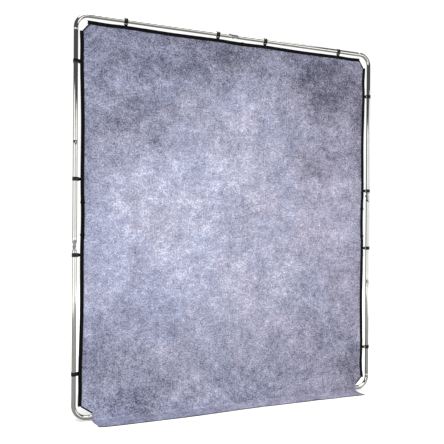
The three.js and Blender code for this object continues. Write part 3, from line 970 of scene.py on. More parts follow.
def finish_of(kind):
    """The material of a kind, made the first time that it is asked for."""
    if kind not in MADE:
        MADE[kind] = MAKERS[kind]()
    return MADE[kind]


# ---- the cover's shape ------------------------------------------------------------------------


def ease(value):
    value = min(max(value, 0.0), 1.0)
    return value * value * (3 - 2 * value)


def clip_places(side, axis):
    """Where the clips stand along one side, lowest first."""
    names = [name for name in NODES if name.startswith(side + "_clip_")]
    return sorted(node_centre(name)[axis] for name in names)


CLIPS = {
    "left": clip_places("left", 2),
    "right": clip_places("right", 2),
    "top": clip_places("top", 0),
}
# The way that each side runs, the way in from it, and where its tube is
ALONG = {"left": Vector((0, 0, 1)), "right": Vector((0, 0, 1)), "top": Vector((1, 0, 0))}
INWARD = {"left": Vector((1, 0, 0)), "right": Vector((-1, 0, 0)), "top": Vector((0, 0, -1))}
TUBE_AT = {"left": LEFT_X, "right": RIGHT_X, "top": TOP_Z}
# How far in from the tube's centre line each edge of the cover lies, at the start and the end of
# the side, how deep it bows between two clips, and how far the stretched cloth draws the middle in
EDGES = {
    "left": (22.0 * MM, 20.5 * MM, 3.0 * MM, 9.0 * MM),
    "right": (33.0 * MM, 27.5 * MM, 5.0 * MM, 3.0 * MM),
    "top": (27.0 * MM, 28.0 * MM, 3.0 * MM, 0.0),
}
ENDS = {
    "left": (BOTTOM_Z + SIDE_CUT_UP, TOP_Z - SIDE_CUT_DOWN),
    "right": (BOTTOM_Z + SIDE_CUT_UP, TOP_Z - SIDE_CUT_DOWN),
    "top": (LEFT_X + TOP_CUT_IN - 12 * MM, RIGHT_X - TOP_CUT_IN),
    "bottom": (LEFT_X + FOOT_CUT_IN - 8 * MM, RIGHT_X - FOOT_CUT_IN + 8 * MM),
}
CREASE_REACH = 0.3
CREASE_HEIGHT = 0.9 * MM
CREASES_IN_A_FAN = 9
# Where the keeper loops sit on the edging: heights at the sides, and a place across the top
KEEPERS = {"left": (1.053, 1.236), "right": (1.053, 1.238), "top": (0.035,)}


def inset(side, place):
    """How far in the cover's outer edge lies at a place along a side."""
    start, end = ENDS[side]
    low, high, depth, drawn = EDGES[side]
    share = min(max((place - start) / (end - start), 0.0), 1.0)
    stops = [start, *CLIPS[side], end]
    bow = 0.0
    for before, after in zip(stops, stops[1:]):
        if before <= place <= after and after > before:
            part = (place - before) / (after - before)
            reach = min(1.0, (after - before) / CREASE_REACH)
            bow = depth * reach * math.sin(math.pi * part) ** 2
    return low + (high - low) * share + bow + drawn * math.sin(math.pi * share)


def pinned(x, z):
    """0 at the cover's edges, where it is held, and 1 well inside them."""
    reach = min(x - LEFT_X, RIGHT_X - x, TOP_Z - z)
    return ease((reach - 0.03) / 0.22)


def drape(x, z):
    """How far the cloth stands forward of the tubes' plane at a place on its face."""
    hang_end = SKIRT_LIFT + SKIRT_BEND
    forward = SKIRT_FORWARD * ease((SKIRT_LEAVES - z) / (SKIRT_LEAVES - hang_end))
    slack = pinned(x, z)
    slow = noise.noise(Vector((x * 2.1, z * 1.6, 3.7)))
    folds = noise.noise(Vector((x * 9.0, z * 2.4, 8.1)))
    forward += slack * (3.2 * MM * slow + 1.4 * MM * folds)
    # Low upright folds where the slack above the floor gathers
    low = ease((0.55 - z) / 0.5) * slack
    forward += low * 2.2 * MM * noise.noise(Vector((x * 7.0, z * 1.2, 1.3)))
    # Short creases that fan out from each clip
    for side, places in CLIPS.items():
        for place in places:
            if side == "top":
                along, inwards = x - place, abs(TOP_Z - z)
            else:
                along, inwards = z - place, abs(x - (LEFT_X if side == "left" else RIGHT_X))
            away = math.hypot(along, inwards)
            if away < CREASE_REACH:
                fan = math.cos(CREASES_IN_A_FAN * math.atan2(along, inwards))
                fades = ease((CREASE_REACH - away) / 0.22) * ease((away - 0.035) / 0.05)
                forward += CREASE_HEIGHT * fan * fades
    return forward


def skirt_reach(x):
    """How far in front of the tubes the skirt's front edge lies: further at the left."""
    span = (x - LEFT_X) / (RIGHT_X - LEFT_X)
    full = SKIRT_FRONT - 2 * MM
    near = full - 25 * MM * ease((span - 0.28) / 0.3)
    near += 5 * MM * ease((span - 0.86) / 0.12)
    return near + 1.6 * MM * noise.noise(Vector((x * 8.0, 0.4, 0.0)))


def toe_lift(x, ahead):
    """How high the floor part of the skirt lies where it passes over a foot's toe."""
    lift = 0.0
    for name in ("left_toe_cap", "right_toe_cap"):
        low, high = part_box(name)
        beside = max(low.x - x, x - high.x, 0.0)
        beyond = max(ahead - (PLANE_Y - low.y), 0.0)
        lift = max(lift, (high.z + 0.9 * MM) * ease(1 - math.hypot(beside, beyond) / (48 * MM)))
    return lift


def skirt_point(x, along):
    """A point of the skirt, a distance down the cloth from the height where it leaves the frame.

    It hangs straight, turns in a soft bend, and lies on the floor out to its front edge."""
    bend = SKIRT_BEND * (1 + 0.35 * noise.noise(Vector((x * 5.0, 2.2, 0.0))))
    low = SKIRT_LIFT
    straight = SKIRT_LEAVES - low - bend
    turn = bend * math.pi / 2
    if along <= straight:
        z = SKIRT_LEAVES - along
        return drape(x, z), z
    forward = drape(x, low + bend)
    if along <= straight + turn:
        angle = (along - straight) / bend
        return forward + bend * (1 - math.cos(angle)), low + bend * (1 - math.sin(angle))
    flat = along - straight - turn
    total = skirt_reach(x) - forward - bend
    share = min(flat / total, 1.0)
    ahead = forward + bend + flat
    settled = 0.9 * MM
    ripple = 3.0 * MM * max(noise.noise(Vector((x * 6.0, share * 1.6, 5.5))), 0.0)
    ripple *= math.sin(math.pi * min(share, 1.0))
    height = low + (settled - low) * ease(share / 0.5) + ripple
    return ahead, max(height, toe_lift(x, ahead))


def face_edges(z):
    """The cloth's left and right edge at a height, under the edging, with the corners cut off."""
    width = settings().cover.edging_width - 4 * MM
    left_in = inset("left", z) + width
    right_in = inset("right", z) + width
    if z > TOP_Z - SIDE_CUT_DOWN:
        share = (z - TOP_Z + SIDE_CUT_DOWN) / (SIDE_CUT_DOWN - TOP_INSET - width)
        left_in += (TOP_CUT_IN - left_in) * share
        right_in += (TOP_CUT_IN - right_in) * share
    if z < BOTTOM_Z + SIDE_CUT_UP:
        share = min((BOTTOM_Z + SIDE_CUT_UP - z) / (SIDE_CUT_UP - FOOT_CUT_UP), 1.0)
        left_in += (FOOT_CUT_IN - left_in) * share
        right_in += (FOOT_CUT_IN - right_in) * share
    return LEFT_X + left_in, RIGHT_X - right_in


def columns():
    """Shares across the cloth, closer together where the cover folds."""
    places = list(np.arange(LEFT_X, RIGHT_X + 1e-6, 13.5 * MM))
    near = 2.2 * FOLD_HALF
    places = [x for x in places if abs(x - FOLD_X) > near]
    places += list(np.arange(FOLD_X - near + 2 * MM, FOLD_X + near, 4 * MM))
    shares = (np.array(sorted(places)) - LEFT_X) / (RIGHT_X - LEFT_X)
    return (shares - shares[0]) / (shares[-1] - shares[0])


def face_rows():
    """Heights of the rows on the cloth's face, from its top edge down to where the skirt leaves."""
    top = TOP_Z - TOP_INSET - settings().cover.edging_width + 4 * MM
    cut = TOP_Z - SIDE_CUT_DOWN
    rows = list(np.linspace(top, cut, 6))
    rows += list(np.linspace(cut, SKIRT_LEAVES, 152))[1:]
    return rows


def cloth_mesh():
    """The cloth as one sheet of points, with its flat place as a UV map in metres."""
    shares = columns()
    points, flat = [], []
    for z in face_rows():
        left, right = face_edges(z)
        for share in shares:
            x = left + (right - left) * share
            points.append((x, PLANE_Y - drape(x, z), z))
            flat.append((x - MIDDLE_X, z))
    hang = SKIRT_LEAVES - SKIRT_LIFT - SKIRT_BEND
    turn = SKIRT_BEND * math.pi / 2
    cut_starts = SKIRT_LEAVES - BOTTOM_Z - SIDE_CUT_UP
    cut_ends = SKIRT_LEAVES - BOTTOM_Z - FOOT_CUT_UP
    steps = [
        *np.linspace(0, cut_starts, 5)[1:],
        *np.linspace(cut_starts, cut_ends, 8)[1:],
        *np.linspace(cut_ends, hang, 5)[1:],
        *np.linspace(hang, hang + turn, 9)[1:],
    ]
    fixed = len(steps)
    floor_steps = 16
    for row in range(fixed + floor_steps):
        for share in shares:
            x_guess = LEFT_X + FOOT_CUT_IN + (RIGHT_X - LEFT_X - 2 * FOOT_CUT_IN) * share
            if row < fixed:
                along = steps[row]
            else:
                bend = SKIRT_BEND * (1 + 0.35 * noise.noise(Vector((x_guess * 5.0, 2.2, 0.0))))
                start = steps[-1]
                straight = SKIRT_LEAVES - SKIRT_LIFT - bend
                forward = drape(x_guess, SKIRT_LIFT + bend)
                full = straight + bend * math.pi / 2 + skirt_reach(x_guess) - forward - bend
                along = start + (full - start) * (row - fixed + 1) / floor_steps
            z_cut = max(SKIRT_LEAVES - along, BOTTOM_Z + FOOT_CUT_UP - 1 * MM)
            left, right = face_edges(z_cut)
            x = left + (right - left) * share
            ahead, z = skirt_point(x, along)
            if row >= fixed:
                # The left front corner is drawn in and rounded, and the right one runs to a point
                part = (row - fixed + 1) / floor_steps
                x += 14 * MM * ease(part) * (1 - share) ** 24
                x += 3 * MM * ease(part) * share**24
                ahead -= 16 * MM * ease(part) * (1 - share) ** 60
            points.append((x, PLANE_Y - ahead, z))
            flat.append((x - MIDDLE_X, SKIRT_LEAVES - along))
    across = len(shares)
    down = len(points) // across
    faces = []
    for row in range(down - 1):
        for column in range(across - 1):
            a = row * across + column
            faces.append((a, a + across, a + across + 1, a + 1))
    made = new_object("printed_background", points, faces=faces)
    uv = made.data.uv_layers.new(name="Cloth")
    loops = np.zeros(len(made.data.loops), np.int32)
    made.data.loops.foreach_get("vertex_index", loops)
    uv.data.foreach_set("uv", np.array(flat, np.float32)[loops].ravel())
    grid = np.array(points).reshape(down, across, 3)
    return made, grid


def edge_line(side, offset, places):
    """Points along one side of the cover, a distance in from its outer edge."""
    line = []
    for place in places:
        reach = inset(side, place) + offset
        if side == "top":
            x, z = place, TOP_Z - reach
        else:
            x = LEFT_X + reach if side == "left" else RIGHT_X - reach
            z = place
        line.append(Vector((x, PLANE_Y - drape(x, z), z)))
    return line


def places_along(side, step=9 * MM):
    """Places along a side, closer together where it crosses the fold."""
    start, end = ENDS[side]
    places = list(np.linspace(start, end, round((end - start) / step)))
    if side in ("left", "right"):
        return places
    near = 2.2 * FOLD_HALF
    places = [x for x in places if abs(x - FOLD_X) > near]
    return sorted(places + list(np.arange(FOLD_X - near + 2 * MM, FOLD_X + near, 4 * MM)))


# ---- trees that repeat or follow a path -------------------------------------------------------


def swept_tree(name, flat):
    """Sweeps a tube, or a flat band whose broad side faces one way, along chains of points."""
    sockets = {
        "Width": "Float",
        "Thickness": "Float",
        "Facing": "Vector",
        "Sides": "Int",
        "Caps": "Bool",
        "Material": "Material",
    }
    tree, given, wanted = new_tree(name, sockets)
    chain = put(tree, "GeometryNodeMeshToCurve", {"Mesh": given["Geometry"]})
    length = put(tree, "GeometryNodeSplineParameter")
    path = put(
        tree,
        "GeometryNodeStoreNamedAttribute",
        {
            "Geometry": chain.outputs["Curve"],
            "Name": "along",
            "Value": length.outputs["Length"],
        },
        data_type="FLOAT",
        domain="POINT",
    ).outputs["Geometry"]
    if flat:
        path = put(
            tree, "GeometryNodeSetCurveNormal", {"Curve": path, "Normal": given["Facing"]}, mode="FREE"
        ).outputs["Curve"]
        outline = put(
            tree,
            "GeometryNodeCurvePrimitiveQuadrilateral",
            {"Width": given["Thickness"], "Height": given["Width"]},
        )
        thinner = put(
            tree, "ShaderNodeMath", {0: given["Thickness"], 1: given["Width"]}, operation="MINIMUM"
        )
        corner = put(
            tree, "ShaderNodeMath", {0: thinner.outputs["Value"], 1: 0.42}, operation="MULTIPLY"
        )
        profile = put(
            tree,
            "GeometryNodeFilletCurve",
            {"Curve": outline.outputs["Curve"], "Radius": corner.outputs["Value"], "Count": 3},
            mode="POLY",
        ).outputs["Curve"]
    else:
        radius = put(tree, "ShaderNodeMath", {0: given["Width"], 1: 0.5}, operation="MULTIPLY")
        profile = put(
            tree,
            "GeometryNodeCurvePrimitiveCircle",
            {"Resolution": given["Sides"], "Radius": radius.outputs["Value"]},
        ).outputs["Curve"]
    place = put(tree, "GeometryNodeInputPosition")
    marked = put(
        tree,
        "GeometryNodeStoreNamedAttribute",
        {"Geometry": profile, "Name": "ring", "Value": place.outputs["Position"]},
        data_type="FLOAT_VECTOR",
        domain="POINT",
    )
    swept = put(
        tree,
        "GeometryNodeCurveToMesh",
        {
            "Curve": path,
            "Profile Curve": marked.outputs["Geometry"],
            "Fill Caps": given["Caps"],
        },
    )
    end_tree(tree, swept.outputs["Mesh"], given, wanted)
    return tree


def drilled_tree():
    """Cuts one round hole, such as a button's hole or the room for a strap round a pin."""
    sockets = {
        "Radius": "Float",
        "Depth": "Float",
        "Place": "Vector",
        "Turn": "Vector",
        "Material": "Material",
    }
    tree, given, wanted = new_tree("Drilled hole", sockets)
    drill = put(
        tree,
        "GeometryNodeMeshCylinder",
        {"Vertices": 28, "Radius": given["Radius"], "Depth": given["Depth"]},
    )
    placed = put(
        tree,
        "GeometryNodeTransform",
        {
            "Geometry": drill.outputs["Mesh"],
            "Translation": given["Place"],
            "Rotation": given["Turn"],
        },
    )
    cut = put(
        tree,
        "GeometryNodeMeshBoolean",
        {"Mesh 1": given["Geometry"], "Mesh 2": placed.outputs["Geometry"]},
        operation="DIFFERENCE",
        solver="EXACT",
    )
    end_tree(tree, cut.outputs["Mesh"], given, wanted)
    return tree


def stitch_tree():
    """Lays short rounded stitches end to end along a chain of points."""
    sockets = {"Pitch": "Float", "Thread": "Float", "Material": "Material"}
    tree, given, wanted = new_tree("Row of stitches", sockets)
    chain = put(tree, "GeometryNodeMeshToCurve", {"Mesh": given["Geometry"]})
    spots = put(
        tree,
        "GeometryNodeResampleCurve",
        {"Curve": chain.outputs["Curve"], "Length": given["Pitch"]},
        mode="LENGTH",
    )
    tangent = put(tree, "GeometryNodeInputTangent")
    turn = put(
        tree,
        "FunctionNodeAlignRotationToVector",
        {"Vector": tangent.outputs["Tangent"]},
        axis="Z",
    )
    bead = put(
        tree, "GeometryNodeMeshUVSphere", {"Segments": 6, "Rings": 4, "Radius": 0.5}
    )
    long = put(tree, "ShaderNodeMath", {0: given["Pitch"], 1: 0.86}, operation="MULTIPLY")
    size = put(
        tree,
        "ShaderNodeCombineXYZ",
        {"X": given["Thread"], "Y": given["Thread"], "Z": long.outputs["Value"]},
    )
    laid = put(
        tree,
        "GeometryNodeInstanceOnPoints",
        {
            "Points": spots.outputs["Curve"],
            "Instance": bead.outputs["Mesh"],
            "Rotation": turn.outputs["Rotation"],
            "Scale": size.outputs["Vector"],
        },
    )
    end_tree(tree, laid.outputs["Instances"], given, wanted)
    return tree


def rivet_tree():
    """Sets a low domed rivet head, facing forward, on each point."""
    sockets = {"Radius": "Float", "Height": "Float", "Material": "Material"}
    tree, given, wanted = new_tree("Rivet heads", sockets)
    spots = put(tree, "GeometryNodeMeshToPoints", {"Mesh": given["Geometry"]})
    dome = put(tree, "GeometryNodeMeshUVSphere", {"Segments": 24, "Rings": 12, "Radius": 1.0})
    size = put(
        tree,
        "ShaderNodeCombineXYZ",
        {"X": given["Radius"], "Y": given["Radius"], "Z": given["Height"]},
    )
    set_down = put(
        tree,
        "GeometryNodeInstanceOnPoints",
        {
            "Points": spots.outputs["Points"],
            "Instance": dome.outputs["Mesh"],
            "Rotation": (math.pi / 2, 0.0, 0.0),
            "Scale": size.outputs["Vector"],
        },
    )
    end_tree(tree, set_down.outputs["Instances"], given, wanted)
    return tree


TREES = {}


def tree_of(kind):
    """A geometry node tree, made the first time that it is asked for."""
    makers = {
        "tube": lambda: swept_tree("Drawn tube", False),
        "band": lambda: swept_tree("Folded band", True),
        "hole": drilled_tree,
        "stitches": stitch_tree,
        "rivets": rivet_tree,
    }
    if kind not in TREES:
        TREES[kind] = makers[kind]()
    return TREES[kind]


def swept_tube(name, points, diameter, kind, sides=12, caps=True):
    """A round bar, or an open tube, along a chain of points."""
    made = path_object(name, points)
    values = {"Width": diameter, "Sides": sides, "Caps": caps, "Material": finish_of(kind)}
    grow(made, tree_of("tube"), values)
    return settle(made)


def band(name, chains, width, thickness, facing=(0.0, 1.0, 0.0)):
    """Flat webbing along chains of points; its thickness lies along the way that it faces."""
    made = path_object(name, *chains)
    values = {
        "Width": width,
        "Thickness": thickness,
        "Facing": facing,
        "Caps": True,
        "Material": finish_of("webbing"),
    }
    grow(made, tree_of("band"), values)
    made = settle(made)
    face_out(made)
    smooth(made, 50)
    return made


def stitches(name, chains, thread=0.9 * MM):
    """Rows of stitches along chains of points, as a plain mesh."""
    made = path_object(name, *chains)
    values = {
        "Pitch": settings().cover.stitch_pitch,
        "Thread": thread,
        "Material": finish_of("thread"),
    }
    grow(made, tree_of("stitches"), values)
    made = settle(made)
    made.data.shade_smooth()
    return made


# ---- operators --------------------------------------------------------------------------------

STRAIGHT_TUBES = {
    "left_inner_tube": "left_slip_button",
    "left_outer_tube": "left_corner_button",
    "top_straight_tube": "top_corner_button",
    "right_inner_tube": "right_slip_button",
    "right_outer_tube": "right_corner_button",
    "bottom_straight_tube": "bottom_corner_button",
}
# For each bent tube: the way its short leg points from the corner, and the way its long leg does
BENT_TUBES = {
    "left_corner_tube": ((1, 0, 0), (0, 0, 1)),
    "top_corner_tube": ((0, 0, -1), (1, 0, 0)),
    "right_corner_tube": ((-1, 0, 0), (0, 0, -1)),
    "bottom_corner_tube": ((0, 0, 1), (-1, 0, 0)),
}
BEND_RADIUS = 72 * MM
HOLE_CLEARANCE = 0.3 * MM
PIN_RADIUS = 1.5 * MM
STRAP_WIDTH = 16 * MM
STRAP_THICKNESS = 0.8 * MM
STRAP_ROOM = 5.7 * MM
STRAP_GAP = 0.1 * MM
STRAP_LAP = 12 * MM
RIVET_RADIUS = 3.4 * MM
RIVET_HEIGHT = 1.4 * MM
RIVET_INSET = 11 * MM


def evenly(start, end, step):
    """Points from one place to another, no more than a step apart."""
    count = max(round((end - start).length / step), 1)
    return [start.lerp(end, i / count) for i in range(count + 1)]


def tube_shell(name, points, hole=None):
    """An open tube along a chain of points, with its wall, and a drilled hole if there is one."""
    tube = settings().tube
    made = swept_tube(name + "_polished", points, 2 * TUBE_R, "tube", tube.sides, caps=False)
    wall = made.modifiers.new("Wall", "SOLIDIFY")
    wall.thickness = tube.wall
    wall.offset = -1.0
    wall.use_rim = True
    if hole:
        place, radius = hole
        values = {
            "Place": place,
            "Turn": (math.pi / 2, 0.0, 0.0),
            "Radius": radius,
            "Depth": 2 * TUBE_R,
            "Material": finish_of("tube"),
        }
        grow(made, tree_of("hole"), values)
    round_edges(made, 0.25 * MM, 50)
    made = settle(made)
    face_out(made)
    smooth(made, 30)
    dress(made, finish_of("tube"), body_of_node(name), [name])


class BACKGROUND_OT_tubes(Operator):
    """Make the bent and straight tubes of the four rails"""

    bl_idname = "background.tubes"
    bl_label = "Tubes"

    def execute(self, context):
        step = settings().tube.ring
        for name, button in STRAIGHT_TUBES.items():
            low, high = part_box(name)
            centre = (low + high) / 2
            axis = 0 if high.x - low.x > high.z - low.z else 2
            start, end = centre.copy(), centre.copy()
            start[axis], end[axis] = low[axis], high[axis]
            start.y = end.y = PLANE_Y
            spring_low, spring_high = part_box(button)
            place = (spring_low + spring_high) / 2
            front = spring_low.y < PLANE_Y - TUBE_R
            place.y = PLANE_Y - TUBE_R if front else PLANE_Y + TUBE_R
            radius = button_radius(button) + HOLE_CLEARANCE
            tube_shell(name, evenly(start, end, step), (place, radius))
        for name, (short, long) in BENT_TUBES.items():
            low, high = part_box(name)
            short, long = Vector(short), Vector(long)
            corner = Vector((0.0, PLANE_Y, 0.0))
            far = Vector((0.0, PLANE_Y, 0.0))
            near = Vector((0.0, PLANE_Y, 0.0))
            for axis, way in ((0, short.x + long.x), (2, short.z + long.z)):
                corner[axis] = low[axis] + TUBE_R if way > 0 else high[axis] - TUBE_R
                open_end = high[axis] if way > 0 else low[axis]
                far[axis] = open_end if long[axis] else corner[axis]
                near[axis] = open_end if short[axis] else corner[axis]
            bend_start = corner + short * BEND_RADIUS
            bend_end = corner + long * BEND_RADIUS
            centre = corner + (short + long) * BEND_RADIUS
            points = evenly(near, bend_start, step)
            for i in range(1, 24):
                angle = i / 24 * math.pi / 2
                points.append(
                    centre - (long * math.cos(angle) + short * math.sin(angle)) * BEND_RADIUS
                )
            points += evenly(bend_end, far, step)
            tube_shell(name, points)
        return {"FINISHED"}


def button_radius(name):
    """A spring button's head is round across the tube, and its leaf is narrower than the spigot."""
    mesh = NODES[name].data
    low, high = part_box(name)
    front = low.y < PLANE_Y - TUBE_R
    tip = low.y if front else high.y
    centre = (low + high) / 2
    rim = [v.co for v in mesh.vertices if abs(v.co.y - tip) < 0.1 * MM]
    return max(math.hypot(v.x - centre.x, v.z - centre.z) for v in rim)


def rivet_place(name):
    """The rivet on the front of a knuckle, near the end that holds its tube."""
    low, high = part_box(name)
    along = 0 if high.x - low.x > high.z - low.z else 2
    if name.endswith("_fork"):
        partner = name.replace("_fork", "_tongue")
    else:
        partner = name.replace("_tongue", "_fork")
    spot = (low + high) / 2
    if spot[along] < node_centre(partner)[along]:
        spot[along] = low[along] + RIVET_INSET
    else:
        spot[along] = high[along] - RIVET_INSET
    spot.y = low.y
    return spot


class BACKGROUND_OT_joints(Operator):
    """Make the hinges with their pins and rivets, the spigots and the spring buttons"""

    bl_idname = "background.joints"
    bl_label = "Hinges and buttons"

    def execute(self, context):
        edge = settings().hardware.edge
        heads = {}
        for name in NODES:
            if name.endswith(("_hinge_fork", "_hinge_tongue")):
                kind, width = "knuckle", edge
            elif name.endswith("_hinge_pin"):
                kind, width = "steel", 0.3 * MM
            elif name.endswith("_button"):
                kind, width = "steel", 0.9 * MM
            elif name.endswith("_spigot"):
                kind, width = "tube", 0.2 * MM
            else:
                continue
            made = softened(name + "_finished", name, width)
            dress(made, finish_of(kind), body_of_node(name), [name])
            if kind == "knuckle":
                heads.setdefault(body_of_node(name), []).append(rivet_place(name))
        for body, places in heads.items():
            made = new_object(body + "_rivets", places)
            values = {
                "Radius": RIVET_RADIUS,
                "Height": RIVET_HEIGHT,
                "Material": finish_of("rivet"),
            }
            grow(made, tree_of("rivets"), values)
            made = settle(made)
            made.data.shade_smooth()
            dress(made, finish_of("rivet"), body)
        return {"FINISHED"}


def strap_round(pivot, inward, reach, seat):
    """A strap's path: from the front of the edging, round a clip's pin, to the edging's back."""
    turn = PIN_RADIUS + STRAP_GAP + STRAP_THICKNESS / 2
    near = settings().cover.edging_thickness / 2 + STRAP_THICKNESS / 2
    out = Vector((0.0, -1.0, 0.0))
    front, back = [], []
    for i in range(9):
        share = 1 - i / 8
        stand = turn + (near - turn) * ease(share)
        lean = seat * ease(share)
        front.append(pivot + inward * reach * share + out * (lean + stand))
        back.append(pivot + inward * reach * share + out * (lean - stand))
    round_pin = []
    for i in range(1, 12):
        angle = math.pi * i / 12
        round_pin.append(
            pivot - inward * turn * math.sin(angle) + out * turn * math.cos(angle)
        )
    return front + round_pin + back[::-1]


class BACKGROUND_OT_clips(Operator):
    """Make the snap clips, their pins, and the webbing straps that tie them to the cover"""

    bl_idname = "background.clips"
    bl_label = "Clips"

    def execute(self, context):
        hinges = {joint["child"]: joint for joint in frame["joints"]}
        straps, seams = {}, {}
        for name in NODES:
            if "_clip_" not in name:
                continue
            body = body_of_node(name)
            pivot = Vector(hinges[body]["pos_m"])
            side = name.split("_")[0]
            axis = ALONG[side]
            made = softened(name + "_moulded", name, settings().hardware.edge)
            room = {
                "Place": pivot,
                "Turn": (0.0, math.pi / 2, 0.0) if side == "top" else (0.0, 0.0, 0.0),
                "Radius": STRAP_ROOM,
                "Depth": STRAP_WIDTH + MM,
                "Material": finish_of("clip"),
            }
            grow(made, tree_of("hole"), room)
            made = settle(made)
            face_out(made)
            smooth(made)
            dress(made, finish_of("clip"), body, [name])
            half = axis * (STRAP_WIDTH / 2 + 2 * MM)
            ends = [pivot - half, pivot + half]
            pin = swept_tube(name + "_pin", ends, 2 * PIN_RADIUS, "steel", 20)
            face_out(pin)
            smooth(pin)
            dress(pin, finish_of("steel"), body)
            inward = INWARD[side]
            from_tube = abs(TUBE_AT[side] - pivot.dot(ALONG["left" if side == "top" else "top"]))
            reach = inset(side, pivot.dot(axis)) + STRAP_LAP - from_tube
            end = pivot + inward * reach
            seat = drape(end.x, end.z)
            group = (side, hinges[body]["parent"])
            straps.setdefault(group, []).append(strap_round(pivot, inward, reach, seat))
            lift = seat + settings().cover.edging_thickness / 2 + STRAP_THICKNESS + STRAP_GAP
            row = pivot + inward * (reach - 3 * MM) + Vector((0.0, -lift, 0.0))
            across = axis * (STRAP_WIDTH / 2 - 1.5 * MM)
            seams.setdefault(group, []).append([row - across, row + across])
        for (side, half), chains in straps.items():
            label = side + "_straps_" + half
            made = band(label, chains, STRAP_THICKNESS, STRAP_WIDTH, ALONG[side])
            dress(made, finish_of("webbing"), half)
            seam = stitches(label + "_seam", seams[(side, half)])
            dress(seam, finish_of("thread"), half)
        return {"FINISHED"}


def fold_across(obj, kind):
    """Give a soft piece that crosses the fold between the frame's two halves its material, and bake
    its place into its mesh.
    """
    finished = finish_of(kind)
    obj.data.materials.clear()
    obj.data.materials.append(finished)
    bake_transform(obj)


def side_pieces(side):
    """The edging of one side with its two seams and its keeper loops."""
    cover = settings().cover
    width, edging = cover.edging_width, cover.edging_thickness
    places = places_along(side)
    made = band(side + "_edging", [edge_line(side, width / 2, places)], width, edging)
    pieces = [(made, "webbing", side)]
    raised = Vector((0.0, -edging / 2 - SEAM_PROUD, 0.0))
    for label, offset in (("inner", width - SEAM_INSET), ("outer", SEAM_INSET)):
        line = edge_line(side, offset, places)
        rows = [[p + raised for p in line], [p - raised for p in line]]
        pieces.append((stitches(side + "_seam_" + label, rows), "thread", side))
    keepers = []
    for place in KEEPERS[side]:
        keepers.append([edge_line(side, width * share, [place])[0] for share in (-0.1, 0.5, 1.1)])
    made = band(side + "_keepers", keepers, KEEPER_WIDTH, edging + KEEPER_THICKER)
    pieces.append((made, "webbing", "right" if side == "top" else side))
    return pieces


def corner_bindings(side):
    """The binding tape along the cover's two cut corners at one side."""
    column = ("left", "right").index(side)
    cuts = []
    for start, end in (
        (TOP_Z - SIDE_CUT_DOWN, TOP_Z - TOP_INSET - settings().cover.edging_width / 2),
        (BOTTOM_Z + SIDE_CUT_UP, BOTTOM_Z + FOOT_CUT_UP),
    ):
        line = []
        for z in np.linspace(start, end, 9):
            x = face_edges(z)[column]
            line.append(Vector((x, PLANE_Y - drape(x, z), z)))
        cuts.append(line)
    return band(side + "_corner_bindings", cuts, BINDING_WIDTH, BINDING_THICKNESS)


def bottom_edging():
    """The edging across the bottom of the frame, behind the cloth."""
    cover = settings().cover
    z = BOTTOM_Z + FOOT_CUT_UP + cover.edging_width / 2
    behind = cover.edging_thickness / 2 + cover.thickness + BAND_CLEARANCE
    line = [Vector((x, PLANE_Y - drape(x, z) + behind, z)) for x in places_along("bottom")]
    return band("bottom_edging", [line], cover.edging_width, cover.edging_thickness)


def hem_with_painted_shadow(front_row):
    """The rolled hem round the cloth's front edge, which rests on the floor. It is made in the black
    webbing, so it is a real hem and also paints the dark contact shadow along that edge.
    """
    hem = [Vector((p[0], p[1], max(p[2], HEM_RADIUS))) for p in front_row]
    # Black webbing here is partly the hem's colour and partly a painted contact shadow where the cloth
    # meets the floor
    made = swept_tube("hem_with_painted_shadow", hem, 2 * HEM_RADIUS, "webbing", 10)
    face_out(made)
    made.data.shade_smooth()
    return made


class BACKGROUND_OT_cover(Operator):
    """Make the printed cloth with its edging, bindings, stitches and hem"""

    bl_idname = "background.cover"
    bl_label = "Cover"

    def execute(self, context):
        cloth, grid = cloth_mesh()
        thick = cloth.modifiers.new("Thickness", "SOLIDIFY")
        thick.thickness = settings().cover.thickness
        thick.offset = 0.0
        cloth = settle(cloth)
        face_out(cloth)
        cloth.data.shade_smooth()
        goes_with = []
        for side in ("left", "right", "top"):
            goes_with += side_pieces(side)
        for side in ("left", "right"):
            goes_with.append((corner_bindings(side), "webbing", side))
        goes_with.append((bottom_edging(), "webbing", "top"))
        # The black hem is a real hem, and it also paints the contact shadow along the cloth's front
        # edge
        goes_with.append((hem_with_painted_shadow(grid[-1]), "webbing", "top"))
        row = [Vector(p) + Vector((0.0, 0.0, 0.6 * MM)) for p in grid[-2]]
        goes_with.append((stitches("skirt_seam", [row]), "thread", "top"))
        for made, kind, side in goes_with:
            if side == "top":
                fold_across(made, kind)
            else:
                dress(made, finish_of(kind), side + "_half")
        fold_across(cloth, "cloth")
        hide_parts("cover_left", "cover_right")
        return {"FINISHED"}


class BACKGROUND_OT_feet(Operator):
    """Make the swing-out feet with their clamps, knobs, pivots and caps"""

    bl_idname = "background.feet"
    bl_label = "Feet"

    def execute(self, context):
        kinds = {
            "foot_clamp": "coat",
            "foot_bar": "coat",
            "clamp_knob": "knob",
            "foot_pivot": "steel",
            "toe_cap": "rubber",
            "heel_cap": "rubber",
        }
        for side in ("left", "right"):
            for part, kind in kinds.items():
                name = side + "_" + part
                made = softened(name + "_finished", name, settings().hardware.edge)
                dress(made, finish_of(kind), body_of_node(name), [name])
        return {"FINISHED"}


FLOOR_HALF = 30.0
# Each lamp's place and size in metres
LAMPS = {
    "Key": ((-2.8, -6.4, 1.6), (2.0, 3.0)),
    "Fill": ((4.4, -5.6, 1.6), (1.6, 3.0)),
    "Back": ((1.2, 6.4, 5.2), (5.0, 2.4)),
}
# Each wall's two ends on the floor, and the height of both
WALLS = {
    "Left wall": ((-2.1, -7.0), (-6.2, 0.9)),
    "Right wall": ((0.2, -7.0), (6.2, 0.9)),
}
WALL_HEIGHT = 2.9
CEILING_TILT = math.radians(14)
CEILING_WIDTH = math.radians(60)
CAMERA_PLACE = (-1.4516, PLANE_Y - 3.3396, 1.0777)
CAMERA_YAW = math.radians(-22.12)
CAMERA_ROLL = math.radians(0.4008)
CAMERA_LENS = 47.19
CAMERA_SHIFT = 0.0212


